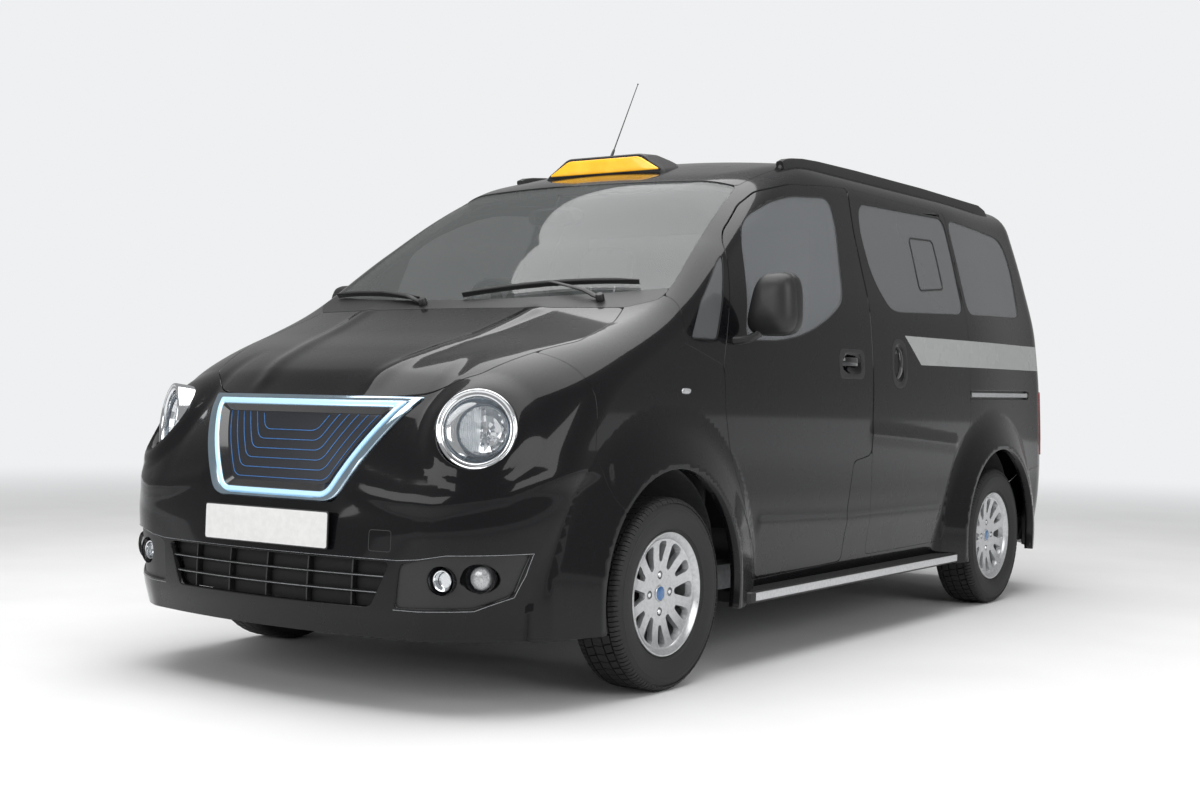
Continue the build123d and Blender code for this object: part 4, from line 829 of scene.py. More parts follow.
def stackRings(rings, closed=False):
    # joins rings of points, each the same length; a ring of one point closes an end
    points, faces, places = [], [], []
    for ring in rings:
        places.append(list(range(len(points), len(points) + len(ring))))
        points += [tuple(p) for p in ring]
    pairs = list(zip(places[:-1], places[1:])) + ([(places[-1], places[0])] if closed else [])
    for low, high in pairs:
        n = max(len(low), len(high))
        for s in range(n):
            t = (s + 1) % n
            if len(low) == 1:
                faces.append([low[0], high[t], high[s]])
            elif len(high) == 1:
                faces.append([low[s], low[t], high[0]])
            else:
                faces.append([low[s], low[t], high[t], high[s]])
    return np.array(points, float), faces


def axisFrame(axis):
    axis = np.array(axis, float) / np.linalg.norm(axis)
    u = np.cross((0, 0, 1.0) if abs(axis[2]) < 0.9 else (0, 1.0, 0), axis)
    u /= np.linalg.norm(u)
    return u, np.cross(axis, u), axis


def revolve(profile, centre, axis, segments=64, offset=None, closed=False):
    # profile of (radius, height along the axis); offset shifts each ring along the axis frame's u and v
    u, v, w = axisFrame(axis)
    rings = []
    for k, (r, h) in enumerate(profile):
        shift = (0, 0) if offset is None else offset[k]
        middle = np.array(centre, float) + w * h + u * shift[0] + v * shift[1]
        turns = [2 * math.pi * s / segments for s in range(segments)] if r > 1e-6 else [0]
        rings.append([middle + r * (math.cos(t) * u + math.sin(t) * v) for t in turns])
    return stackRings(rings, closed)


def prism(outline, frame, low, high, origin=(0, 0, 0)):
    # an outline of (u, v) points between two heights of an axis frame
    u, v, w = (np.array(c, float) for c in frame)
    rings = [[np.array(origin, float) + u * a + v * b + w * h for a, b in outline] for h in (low, high)]
    points, faces = stackRings(rings)
    n = len(outline)
    return points, faces + [list(range(n))[::-1], list(range(n, 2 * n))]


def mirrored(shape):
    return shape[0] * np.array([-1, 1, 1]), [face[::-1] for face in shape[1]]


def moved(shape, place):
    return shape[0] + np.array(place, float), shape[1]


def joined(*shapes):
    points, faces, start = [], [], 0
    for p, f in shapes:
        points.append(p)
        faces += [[v + start for v in face] for face in f]
        start += len(p)
    return np.concatenate(points), faces


def bothSides(*shapes):
    return joined(*shapes, *[mirrored(shape) for shape in shapes])


def solidPiece(name, shape, material, body, slot, *nodes, sharp=32, bevel=0.0):
    piece = makeMesh(name, shape[0], shape[1], [material])
    mesh = bmesh.new()
    mesh.from_mesh(piece.data)
    bmesh.ops.remove_doubles(mesh, verts=mesh.verts, dist=2e-6)
    bmesh.ops.recalc_face_normals(mesh, faces=mesh.faces)
    if bevel:
        edges = [e for e in mesh.edges if len(e.link_faces) == 2
                 and e.calc_face_angle(0) > math.radians(sharp)]
        bmesh.ops.bevel(mesh, geom=edges, offset=bevel * 0.001, segments=2, profile=0.6, affect="EDGES",
                        clamp_overlap=True)
    for edge in mesh.edges:
        edge.smooth = not (len(edge.link_faces) == 2 and edge.calc_face_angle(0) > math.radians(sharp))
    mesh.to_mesh(piece.data)
    mesh.free()
    piece.data.polygons.foreach_set("use_smooth", np.ones(len(piece.data.polygons), bool))
    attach(piece, body)
    if nodes:
        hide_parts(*nodes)
    return piece


# copies of a shape, each turned a step further about X and moved a step further along
copyTree = bpy.data.node_groups.new("copies", "GeometryNodeTree")
copySockets = {}
for label, kind in (("Geometry", "Geometry"), ("Count", "Int"), ("Turn", "Float"), ("First Turn", "Float"),
                    ("Step", "Vector"), ("Material", "Material")):
    socket = copyTree.interface.new_socket(label, in_out="INPUT", socket_type="NodeSocket" + kind)
    copySockets[label] = socket.identifier
copyTree.interface.new_socket("Geometry", in_out="OUTPUT", socket_type="NodeSocketGeometry")
entry, leave = copyTree.nodes.new("NodeGroupInput"), copyTree.nodes.new("NodeGroupOutput")
spots, copies, index, real, coat = (copyTree.nodes.new("GeometryNode" + kind) for kind in (
    "Points", "InstanceOnPoints", "InputIndex", "RealizeInstances", "SetMaterial"))
turnBy, angles, stride = (copyTree.nodes.new("ShaderNode" + kind) for kind in ("Math", "CombineXYZ",
        "VectorMath"))
turnBy.operation, stride.operation = "MULTIPLY_ADD", "SCALE"
for a, b in ((entry.outputs["Count"], spots.inputs["Count"]), (entry.outputs["Step"], stride.inputs[0]),
             (index.outputs[0], stride.inputs["Scale"]), (stride.outputs[0], spots.inputs["Position"]),
             (index.outputs[0], turnBy.inputs[0]), (entry.outputs["Turn"], turnBy.inputs[1]),
             (entry.outputs["First Turn"], turnBy.inputs[2]), (turnBy.outputs[0], angles.inputs["X"]),
             (spots.outputs[0], copies.inputs["Points"]),
             (entry.outputs["Geometry"], copies.inputs["Instance"]),
             (angles.outputs[0], copies.inputs["Rotation"]), (copies.outputs[0], real.inputs[0]),
             (real.outputs[0], coat.inputs["Geometry"]), (entry.outputs["Material"], coat.inputs["Material"]),
             (coat.outputs[0], leave.inputs[0])):
    copyTree.links.new(a, b)


def evaluated(holder):
    # the mesh that an object's modifiers make, as a shape; the object is removed
    mesh = bpy.data.meshes.new_from_object(holder.evaluated_get(bpy.context.evaluated_depsgraph_get()))
    points = np.empty(len(mesh.vertices) * 3)
    mesh.vertices.foreach_get("co", points)
    shape = points.reshape(-1, 3) * 1000, [list(face.vertices) for face in mesh.polygons]
    holder.modifiers.clear()
    bpy.data.objects.remove(holder)
    bpy.data.meshes.remove(mesh)
    return shape


def holderOf(name, shape):
    mesh = bpy.data.meshes.new(name)
    mesh.from_pydata((shape[0] * 0.001).tolist(), [], [list(map(int, face)) for face in shape[1]])
    holder = bpy.data.objects.new(name, mesh)
    bpy.context.scene.collection.objects.link(holder)
    return holder


def repeated(name, shape, count, material, turn=0.0, firstTurn=0.0, step=(0, 0, 0)):
    holder = holderOf(name, shape)
    modifier = holder.modifiers.new("copies", "NODES")
    modifier.node_group = copyTree
    for label, value in (("Count", count), ("Turn", float(turn)), ("First Turn", float(firstTurn)),
                         ("Step", tuple(v * 0.001 for v in step)), ("Material", material)):
        modifier[copySockets[label]] = value
    return evaluated(holder)


def carved(name, shape, cutter):
    holder, tool = holderOf(name, shape), holderOf(name + "Cutter", cutter)
    modifier = holder.modifiers.new("cut", "BOOLEAN")
    modifier.operation, modifier.solver, modifier.object = "DIFFERENCE", "EXACT", tool
    result = evaluated(holder)
    bpy.data.objects.remove(tool)
    return result


# more finishes
def plainMaterial(name, colour, second, roughness, metallic=0.0, scale=60, bump=0.0, depth=0.0005, **sockets):
    material, tree, shader = newMaterial(name, colour, sum(roughness) / 2, metallic, **sockets)
    grain = addNoise(tree, scale, 4)
    varyColour(tree, shader, grain, colour, second)
    varyRoughness(tree, shader, grain, *roughness)
    if bump:
        addBump(tree, shader, grain, bump, depth)
    return material


tyreBlack = plainMaterial("tyreRubber", (0.010, 0.010, 0.0105), (0.018, 0.018, 0.018), (0.55, 0.78), 0.0, 140,
                          0.3)
alloySilver = plainMaterial("silverAlloy", (0.50, 0.51, 0.52), (0.60, 0.61, 0.62), (0.24, 0.36), 0.75, 90,
                            Coat_Weight=0.5)
darkSteel = plainMaterial("darkSteel", (0.045, 0.044, 0.043), (0.10, 0.095, 0.09), (0.4, 0.65), 0.7, 25, 0.2)
capBlue = plainMaterial("capBlue", (0.02, 0.11, 0.30), (0.03, 0.15, 0.38), (0.15, 0.3), 0.3, 80,
                        Coat_Weight=0.8)
glossBlack = plainMaterial("glossBlackPlastic", (0.006, 0.006, 0.008), (0.010, 0.010, 0.012), (0.08, 0.2),
                           0.0, 30,
                           Coat_Weight=0.6)
panelBlack = plainMaterial("grillePanelBlack", (0.008, 0.009, 0.013), (0.014, 0.016, 0.022), (0.3, 0.42), 0.0,
                           500, 0.1)
blueLine = plainMaterial("blueLine", (0.045, 0.16, 0.42), (0.06, 0.2, 0.5), (0.3, 0.4), 0.1, 60)
ledGrey = plainMaterial("ledLens", (0.30, 0.31, 0.32), (0.55, 0.56, 0.57), (0.15, 0.3), 0.2, 260, 0.4,
                        Coat_Weight=1.0)
lampBlue = plainMaterial("lampRim", (0.06, 0.085, 0.11), (0.12, 0.16, 0.2), (0.12, 0.25), 0.5, 40)

flutedGlass = makeGlass("flutedGlass", (0.62, 0.68, 0.72), 0.5, 0.05)
blueChrome = plainMaterial("blueChrome", (0.42, 0.55, 0.66), (0.5, 0.62, 0.72), (0.06, 0.14), 1.0, 12)
edgeMetal = plainMaterial("edgeMetal", (0.28, 0.29, 0.3), (0.36, 0.37, 0.38), (0.2, 0.35), 0.9, 40)
deepBlack = plainMaterial("deepBlack", (0.003, 0.003, 0.003), (0.005, 0.005, 0.005), (0.7, 0.85), 0.0, 90)

print("wheels")
wheelSizes = dict(tread=299.2, grooveFloor=291.5, blockPitch=60, spokePairs=6, boltCircle=57.2, bolts=4,
                  capRadius=24)
wheelAxis, turnX = (1, 0, 0), 2 * math.pi
half = [(184, 62), (187, 66), (196, 69), (203, 75), (205, 78.5), (208, 79), (222, 84), (236, 86.8),
        (250, 87.3),
        (261, 86.6), (262, 87.2), (265, 87.2), (266, 86), (276, 83), (284, 79), (289, 73.5), (291, 66),
        (291.5, 40)]
tyreProfile = half + [(r, -h) for r, h in reversed(half)]
top, floorR = wheelSizes["tread"], wheelSizes["grooveFloor"]


def treadBlock(section, lead, tail, skew):
    # a tread block: a section of x and radius points between two places round the tyre
    rings = [[(x, y + skew * x, r) for x, r in section] for y in (lead, tail)]
    points, faces = stackRings(rings)
    n = len(section)
    return points, faces + [list(range(n))[::-1], list(range(n, 2 * n))]


shoulder = [(54, floorR - 2), (54, top - 0.2), (64, top - 0.8), (73, top - 3.5), (80, top - 9.5),
            (83.5, top - 17),
            (80, top - 18), (70, floorR - 3)]
middleRow = [(21, floorR - 2), (21, top), (49, top - 0.2), (49, floorR - 2)]
centreRib = [(-16.5, floorR - 2), (-16.5, top), (16.5, top), (16.5, floorR - 2)]


def otherSide(section):
    return [(-x, r) for x, r in section]


blocks = joined(
    treadBlock(shoulder, -14.2, -1.4, 0.10), treadBlock(shoulder, 1.4, 14.2, 0.10),
    treadBlock(otherSide(shoulder), -14.2, -1.4, 0.10), treadBlock(otherSide(shoulder), 1.4, 14.2, 0.10),
    treadBlock(middleRow, -13.8, 12.6, 0.28), treadBlock(otherSide(middleRow), -12.6, 13.8, 0.28),
    treadBlock(centreRib, -14.6, 13.6, 0.0))
tyreShape = joined(revolve(tyreProfile, (0, 0, 0), wheelAxis, 96, closed=True),
                   repeated("tread", blocks, wheelSizes["blockPitch"], tyreBlack,
                            turnX / wheelSizes["blockPitch"]))

barrel = revolve([(193, -73), (187, -73), (177, -70), (169, -40), (165, 0), (165, 40), (169, 52), (169, 56),
                  (176, 66),
                  (185, 70.5), (188, 73), (191.5, 73), (193, 71), (193, 66.4), (184.2, 62.4), (184.2, -62.4),
                  (193, -66.4)], (0, 0, 0), wheelAxis, 96, closed=True)
face = revolve([(0, 22), (70, 22), (90, 26), (150, 34), (172, 40), (172, 58), (166, 57.5), (158, 54),
                (120, 47.5), (80, 44.2),
                (60, 44), (0, 44)], (0, 0, 0), wheelAxis, 96)


def slot(inner, outer, innerHalf, outerHalf):
    # a slot through the wheel's face, wider at its outer end, with rounded ends
    outline = ([(inner + innerHalf - innerHalf * math.cos(t),
                 innerHalf * math.sin(t)) for t in np.linspace(-1.5, 1.5, 9)]
               + [(outer - 12, outerHalf), (outer - 4, outerHalf * 0.86), (outer, outerHalf * 0.5),
                  (outer, -outerHalf * 0.5), (outer - 4, -outerHalf * 0.86), (outer - 12, -outerHalf)])
    rings = [[(h, y * grow, r0 + (r - r0) * grow) for r, y in outline]
             for h, grow, r0 in ((10, 0.84, 130), (36, 0.93, 130), (50, 1.04, 130), (70, 1.22, 130))]
    points, faces = stackRings(rings)
    n = len(outline)
    return points, faces + [list(range(n))[::-1], list(range(3 * n, 4 * n))]


pairs = wheelSizes["spokePairs"]
slots = [repeated("slots", slot(*sizes), pairs, alloySilver, turnX / pairs, first)
         for sizes, first in (((99, 161, 9, 19), 0), ((82, 162, 11, 25), math.pi / pairs))]
spokes = carved("face", carved("face", face, slots[0]), slots[1])
boltHole = revolve([(0, 31), (11.5, 31), (15, 52), (0, 52)], (0, 0, wheelSizes["boltCircle"]), wheelAxis, 24)
bolt = revolve([(0, 32), (10, 32), (10, 35), (8.2, 36), (8.2, 43), (6.5, 44.5), (0, 44.5)],
               (0, 0, wheelSizes["boltCircle"]), wheelAxis, 6)
quarterTurn = turnX / wheelSizes["bolts"]
spokes = carved("face", spokes, repeated("boltHoles", boltHole, wheelSizes["bolts"], darkSteel, quarterTurn))
bolts = repeated("bolts", bolt, wheelSizes["bolts"], chrome, quarterTurn)
r = wheelSizes["capRadius"]
capRing = revolve([(r + 2.5, 44), (r + 2.5, 46.2), (r + 1, 47.4), (r - 1.5, 47), (r - 1.5, 44)], (0, 0, 0),
                  wheelAxis, 48,
                  closed=True)
capDisc = revolve([(0, 44), (r - 1, 44), (r - 1, 46.2), (r - 7, 47.4), (r * 0.4, 48.2), (0, 48.4)], (0, 0, 0),
                  wheelAxis, 48)
brakeDisc = revolve([(30, -34), (120, -34), (120, -27), (34, -27), (34, -23), (120, -23), (120, -16),
                     (70, -16), (66, 4),
                     (30, 4)], (0, 0, 0), wheelAxis, 64, closed=True)
for end, station, track in (("front", 0, 800), ("rear", 2725, 780)):
    for side, name in ((1, "left"), (-1, "right")):
        body, tag = f"wheel_{end}_{name}", end.title() + name.title()
        place = (side * track, station, 300)
        turned = (lambda shape: shape) if side > 0 else mirrored
        solidPiece("tyre" + tag, moved(turned(tyreShape), place), tyreBlack, body, "tyre_black",
                   f"tyre_{end}_{name}",
                   sharp=28)
        solidPiece("wheelRim" + tag, moved(turned(joined(barrel, spokes, capRing)), place), alloySilver, body,
                   "alloy", f"rim_{end}_{name}", sharp=30)
        solidPiece("wheelCap" + tag, moved(turned(capDisc), place), capBlue, body, "bright")
        solidPiece("lugBolts" + tag, moved(turned(bolts), place), chrome, body, "bright")
        solidPiece("brakeDisc" + tag, moved(turned(brakeDisc), place), darkSteel, body, "dark_steel")

print("headlamps")
lampSizes = dict(outer=118.4, eye=74.0, shift=15.5, facets=16, ribs=11)
lampCentre = np.array(headlamp["centre"], float)
lampU, lampV, lampW = axisFrame(lampAxis)
if lampU[0] < 0:
    lampU, lampV = -lampU, -lampV
if lampV[2] < 0:
    lampV = -lampV


def lampPoint(u, v, h):
    return lampCentre + lampU * u + lampV * v + lampW * h


def lampRings(profile, segments=72):
    # profile of radius, height, shift sideways
    return [[lampPoint(s + r * math.cos(2 * math.pi * k / segments), r * math.sin(2 * math.pi * k / segments),
                       h)
             for k in range(segments)] if r > 0 else [lampPoint(s, 0, h)] for r, h, s in profile]


outerR = lampSizes["outer"]
ringShape = stackRings(lampRings([(outerR, -60, 0), (outerR, 0, 0), (117, 4, 0), (114, 5.8, 0), (111, 5.2, 0),
                                  (108.5, 2.5, 0),
                                  (106, 2.2, 0), (103.5, 3.6, 0), (98, 2.6, 0), (95, -2, 0), (94.2, -9, 0),
                                  (94.2, -60, 0)]), True)
shift, eye = lampSizes["shift"], lampSizes["eye"]
bowlShape = stackRings(lampRings([(94, -60, 0), (94, -10, 0), (93, -10, 0.5), (90.5, -16, 2.5), (86, -21, 6),
                                  (81, -24, 10),
                                  (eye + 3, -25, 14), (eye + 3, -60, shift)]), True)
eyeRing = stackRings(lampRings([(eye + 2.8, -26, shift), (eye + 2.8, -13, shift), (eye + 1.5, -11, shift),
                                (eye - 1.5, -11.5, shift), (eye - 3, -14, shift), (eye - 3, -26, shift)]),
                                True)
facets = lampSizes["facets"]
random = np.random.default_rng(7)
mirrorRings = lampRings([(71, -20, shift), (62, -33, shift), (48, -42, shift), (32, -50, shift),
                         (15, -54, shift)], facets)
mirrorRings = [[p + lampW * random.uniform(-6.5, 6.5) * (0 < k < 4) for p in ring] for k,
               ring in enumerate(mirrorRings)]
mirrorShape = stackRings([mirrorRings[0], *mirrorRings[1:], [lampPoint(shift, 0, -56)],
                          [lampPoint(shift, 0, -58)],
                          *lampRings([(72.5, -58, shift), (72.5, -20, shift)], facets)], True)
bulb = stackRings(lampRings([(0, -24, shift), (6, -25, shift), (8.5, -29, shift), (8.5, -36, shift),
                             (6, -38, shift),
                             (6, -56, shift), (0, -56, shift)], 20))
ribShapes = []
for k in range(lampSizes["ribs"]):
    u = -65 + k * 5.4
    half = math.sqrt(max(eye - 5, 1) ** 2 - u * u) * (0.98 if k < 8 else 0.9)
    path = [lampPoint(shift + u, t * half, -18 - 0.1 * k) for t in np.linspace(-1, 1, 12)]
    ribShapes.append(sweep(path, lampW, [(2.6, 0), (1.8, 1.9), (0, 2.7), (-1.4, 2.7), (-1.4, -2.7), (0, -2.7),
            (1.8, -1.9)]))
cover = stackRings(lampRings([(0, 2.6, 0), (40, 2.0, 0), (70, 0.4, 0), (87, -2.6, 0), (94, -6, 0),
                              (94, -9, 0),
                              (87, -5.6, 0), (70, -2.6, 0), (40, -1.0, 0), (0, -0.4, 0)]))
solidPiece("headlampRings", bothSides(ringShape), chrome, "body", "bright", "headlamp_rings", sharp=50)
solidPiece("headlampBowls", bothSides(bowlShape), reflector, "body", "reflector", "headlamp_bowls", sharp=40)
solidPiece("headlampEyeRims", bothSides(eyeRing), lampBlue, "body", "bright")
solidPiece("headlampMirrors", bothSides(mirrorShape), reflector, "body", "reflector", sharp=4)
solidPiece("headlampBulbs", bothSides(bulb), chrome, "body", "bright")
solidPiece("headlampFlutes", bothSides(*ribShapes), flutedGlass, "body", "lamp_glass", sharp=60)
solidPiece("headlampCovers", bothSides(cover), clearLens, "body", "lamp_glass", "headlamp_lenses", sharp=60)

print("grille")
grilleSizes = dict(chromeSide=32, chromeTop=14, chromeFoot=14, glowWidth=15, bezel=24, lines=6, lineStep=29,
                   lineWidth=2.4)
grilleCorners = [(438, 898), (251, 590), (-251, 590), (-438, 898)]


def inset(corners, distances):
    # each edge moves inwards by its own distance: right side, foot, left side, top
    lines, n = [], len(corners)
    middle = np.mean(corners, axis=0)
    for k in range(n):
        a, b = np.array(corners[k], float), np.array(corners[(k + 1) % n], float)
        along = (b - a) / np.linalg.norm(b - a)
        normal = np.array([-along[1], along[0]])
        if (middle - a) @ normal < 0:
            normal = -normal
        lines.append((a + normal * distances[k], along))
    result = []
    for k in range(n):
        (p, u), (q, v) = lines[k - 1], lines[k]
        t = ((q - p)[0] * v[1] - (q - p)[1] * v[0]) / (u[0] * v[1] - u[1] * v[0])
        result.append(tuple(p + u * t))
    return result


def trapezium(side, foot, top, footRadius, topRadius):
    corners = inset(grilleCorners, (side, foot, side, top))
    loop = []
    for k, corner in enumerate(corners):
        p, before, after = (np.array(c, float) for c in (corner, corners[k - 1], corners[(k + 1) % 4]))
        radius = footRadius if k in (1, 2) else topRadius
        start, end = (p + (q - p) / np.linalg.norm(q - p) * radius for q in (before, after))
        loop += [tuple((1 - t) ** 2 * start + 2 * t * (1 - t) * p + t * t * end) for t in np.linspace(0, 1,
                7)]
        following = np.array(corners[(k + 1) % 4], float)
        nextRadius = footRadius if (k + 1) % 4 in (1, 2) else topRadius
        stop = following + (p - following) / np.linalg.norm(p - following) * nextRadius
        loop += [tuple(end + (stop - end) * t) for t in np.linspace(0, 1, 18)[1:-1]]
    return loop


def noseRing(*loops):
    # loops of side, foot, top insets, height off the skin and corner radii, joined into one closed ring
    return stackRings([noseLine(trapezium(s, f, t, rf, rt), h)[0] for s, f, t, h, rf, rt in loops], True)


g = grilleSizes
cs, ct, cf, gw, bz = g["chromeSide"], g["chromeTop"], g["chromeFoot"], g["glowWidth"], g["bezel"]
chromeRing = noseRing((0.6, 0.6, 0.6, -10, 44, 3), (0.6, 0.6, 0.6, 3, 44, 3), (3, 3, 3, 7, 42, 4),
                      (cs * 0.55, cf * 0.6, ct * 0.6, 7.6, 38, 5), (cs, cf, ct, 3.5, 34, 6),
                      (cs, cf, ct, -10, 34, 6))
# the ring between the chrome and the bezel carries the painted ice-blue glow
glowRing = noseRing((cs, cf, ct, -10, 34, 6), (cs, cf, ct, 4.0, 34, 6), (cs + 2, cf + 2, ct + 2, 7.5, 33, 7),
                    (cs + gw - 3, cf + gw - 3, ct + gw - 3, 6.5, 28, 12),
                    (cs + gw, cf + gw, ct + gw, 3, 27, 13),
                    (cs + gw, cf + gw, ct + gw, -10, 27, 13))
s0, f0, t0 = cs + gw, cf + gw, ct + gw
bezelRing = noseRing((s0, f0, t0, -16, 27, 13), (s0, f0, t0, 1, 27, 13),
                     (s0 + 3, f0 + 3, t0 + 3, 2.5, 26, 13),
                     (s0 + bz, f0 + bz, t0 + bz * 0.6, -13, 22, 12),
                     (s0 + bz, f0 + bz, t0 + bz * 0.6, -24, 22, 12))
p = noseSheet["points"]
panelLoop = trapezium(s0 + bz - 1, f0 + bz - 1, t0 + bz * 0.6 - 1, 22, 12)
grillePanel = cutPanel(noseSheet, insideDistance(p[:, 0], p[:, 2], panelLoop), 8.0, 0.4, 14.0)
lineShapes = []
for k in range(g["lines"]):
    at = s0 + bz + 12 + k * g["lineStep"]
    corners = inset(grilleCorners, (at, f0 + bz + 11 + k * g["lineStep"], at,
                                    t0 + bz * 0.6 + 2 + (6 if k == g["lines"] - 1 else 0)))
    top0, low0, low1, top1 = corners[0], corners[1], corners[2], corners[3]
    bent = roundCorners([top0, low0, low1, top1], 26, 8)
    bent = [top0] + [q for q in bent if q[1] < top0[1] - 30] + [top1]
    path, normals = noseLine(finer(bent, 14), -13.4)
    w = g["lineWidth"] / 2
    lineShapes.append(sweep(path, normals, [(0.9, -w * 0.7), (0.9, w * 0.7), (0, w), (-1, w), (-1, -w),
            (0, -w)]))
solidPiece("grilleChrome", chromeRing, blueChrome, "body", "bright", "grille_frame", sharp=40)
solidPiece("grilleGlow", glowRing, iceBluePaintedGlow, "body", "bright", sharp=40)
solidPiece("grilleBezel", bezelRing, glossBlack, "body", "grille_gloss", sharp=40)
panelPiece("grillePanel", grillePanel, [panelBlack, innerTrim], "body", "grille_gloss", "grille_panel")
solidPiece("grilleLines", joined(*lineShapes), blueLine, "body", "bright", sharp=60)

print("lower grille and fog lamps")
lowerSizes = dict(slats=(345, 391), slatHalf=4.0, slatDepth=24, ribs=(-330, -165, 0, 165, 330), edge=1.4)
lowerBack = cutPanel(noseSheet, frontCut(p, lowerFront, 22) + 0.5, 6.0, 0.4, 34.0)
slatShapes, edgeShapes = [], []
for z in lowerSizes["slats"]:
    reach = 404 + (z - 300) / 136 * 64 - 3
    path, normals = noseLine([(x, z) for x in np.linspace(-reach, reach, 61)], -8)
    t = lowerSizes["slatHalf"]
    slatShapes.append(sweep(path, normals, [(0, -t * 0.5), (0, t * 0.5), (-5, t),
            (-lowerSizes["slatDepth"], t * 0.8),
                                            (-lowerSizes["slatDepth"], -t * 0.8), (-5, -t)]))
    e = lowerSizes["edge"]
    edgeShapes.append(sweep(path + normals * 0.6, normals,
                            [(1.2, -e * 0.6), (1.2, e * 0.6), (0, e), (-1, e), (-1, -e), (0, -e)]))
for x in lowerSizes["ribs"]:
    path, normals = noseLine([(x, z) for z in np.linspace(303, 433, 9)], -14)
    slatShapes.append(sweep(path, normals, [(0, -2.5), (0, 2.5), (-20, 3.5), (-20, -3.5)]))
solidPiece("lowerGrilleBars", joined(*slatShapes), satinBlack, "body", "black_trim", "lower_grille")
solidPiece("lowerGrilleEdges", joined(*edgeShapes), edgeMetal, "body", "bright", sharp=60)
panelPiece("lowerGrilleBack", lowerBack, [deepBlack, innerTrim], "body", "black_trim")

fogSizes = dict(places=((622, 388), (716, 396)), radius=43.0, sink=9.0)
ax = np.abs(p[:, 0])
fogHole = np.min([np.hypot(ax - x, p[:, 2] - z) for x, z in fogSizes["places"]], axis=0)
fogPanel = cutPanel(noseSheet, np.maximum(insideDistance(ax, p[:, 2], roundCorners(fogPocket, 18)) + 0.6,
                                          fogSizes["radius"] - fogHole), 24.0, 1.2, fogSizes["sink"])
panelPiece("fogHousings", fogPanel, [satinBlack, innerTrim], "body", "black_trim", "fog_housings")
cups, rings, eyes = [], [], []
for k, (x, z) in enumerate(fogSizes["places"]):
    (middle,), (normal,) = noseLine([(x, z)], -fogSizes["sink"])
    way = np.array([normal[0] * 0.35, -1.0, 0.0])
    r = fogSizes["radius"] - 1
    cups.append(revolve([(r, 0), (r, -2), (r - 4, -9), (r - 9, -20), (r - 9, -26), (r + 0.6, -26),
                         (r + 0.6, 0)], middle, way,
                        48, closed=True))
    if k == 0:
        rings.append(revolve([(31, -24), (31, -8), (29, -6), (26, -7), (22, -20), (22, -24)], middle, way, 48,
                             closed=True))
        eyes.append(revolve([(0, 2), (8, 1), (16, -3), (21.5, -10), (22, -20), (0, -22)], middle, way, 40))
    else:
        eyes.append(revolve([(0, 3), (14, 2), (26, -2), (33, -9), (34, -20), (0, -22)], middle, way, 40))
solidPiece("fogCups", bothSides(*cups), glossBlack, "body", "black_trim", "fog_lamps", sharp=40)
solidPiece("fogRings", bothSides(*rings), chrome, "body", "bright", sharp=40)
solidPiece("fogProjectors", bothSides(eyes[0]), clearLens, "body", "lamp_glass", sharp=50)
solidPiece("fogDiodes", bothSides(eyes[1]), ledGrey, "body", "lamp_glass", sharp=50)
fogBack = revolve([(0, -23), (21, -23), (21, -25), (0, -25)],
                  noseLine([fogSizes["places"][0]], -fogSizes["sink"])[0][0], (0.1, -1, 0), 32)
solidPiece("fogReflectors", bothSides(fogBack), reflector, "body", "reflector")
upperTrim = [(812, 466), (640, 461), (560, 446), (492, 440), (468, 440)]
upperTrim = upperTrim + [(-x, z) for x, z in reversed(upperTrim)]
path, normals = noseLine(finer(upperTrim, 18), -1.0)
lowerTrim = [(812, 466), (797, 405), (775, 343), (700, 306), (560, 300), (480, 300)]
footPath, footNormals = noseLine(finer(lowerTrim, 18), -1.0)
trimSection = [(1.8, -0.7), (1.8, 0.7), (0, 1.3), (-3, 1.3), (-3, -1.3), (0, -1.3)]
solidPiece("bumperTrimLine", joined(sweep(path, normals, trimSection),
                                    sweep(footPath, footNormals, trimSection),
                                    mirrored(sweep(footPath, footNormals, trimSection))), edgeMetal, "body",
                                    "bright",
           sharp=60)

coverLoop = roundCorners(towCover, 10, 5)
path, normals = noseLine(coverLoop, -0.4)
solidPiece("towCoverSeam", sweep(path, normals, [(0.9, -1.1), (0.9, 1.1), (-2, 1.1), (-2, -1.1)],
                                 closed=True), satinBlack,
           "body", "black_trim", sharp=60)

plateSizes = dict(width=518, height=110, thickness=4.0, station=-859, middle=512, lean=1.6)


def plateShape(width, height, radius, low, high, station, middle, lean, way):
    corners = [(-width / 2, -height / 2), (width / 2, -height / 2), (width / 2, height / 2),
               (-width / 2, height / 2)]
    a = math.radians(lean)
    frameAxes = ((1, 0, 0), (0, math.sin(a), math.cos(a)), (0, way * math.cos(a), 0))
    return prism(roundCorners(corners, radius, 5), frameAxes, low, high, (0, station, middle))

print("plates, mirrors and handles")


def middleOf(node):
    low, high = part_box(node)
    x, y, z = ((a + b) * 500 for a, b in zip(low, high))
    return x, y - frontAxleY, z


_, rearStation, rearMiddle = middleOf("rear_plate")
for name, body, node, station, middle, lean, way in (
        ("Front", "body", "front_plate", plateSizes["station"], plateSizes["middle"], plateSizes["lean"], -1),
        ("Rear", "tailgate", "rear_plate", rearStation, rearMiddle, 0.0, 1)):
    w, h, t = plateSizes["width"], plateSizes["height"], plateSizes["thickness"]
    solidPiece(f"plateBacking{name}", plateShape(w, h, 10, -t, 0.2, station, middle, lean, way), satinBlack,
               body,
               "black_trim", bevel=0.8)
    solidPiece(f"plateFace{name}", plateShape(w - 7, h - 7, 8, 0.1, 1.8, station, middle, lean, way),
               plateWhite, body,
               "plate_white", node, bevel=0.5)
solidPiece("plateCarrier", plateShape(440, 84, 12, -34, -3.5, -859, 512, 1.6, -1), satinBlack, "body",
           "black_trim")

mirrorSizes = dict(place=(951, 486, 1221), half=(97, 106), power=3.6)


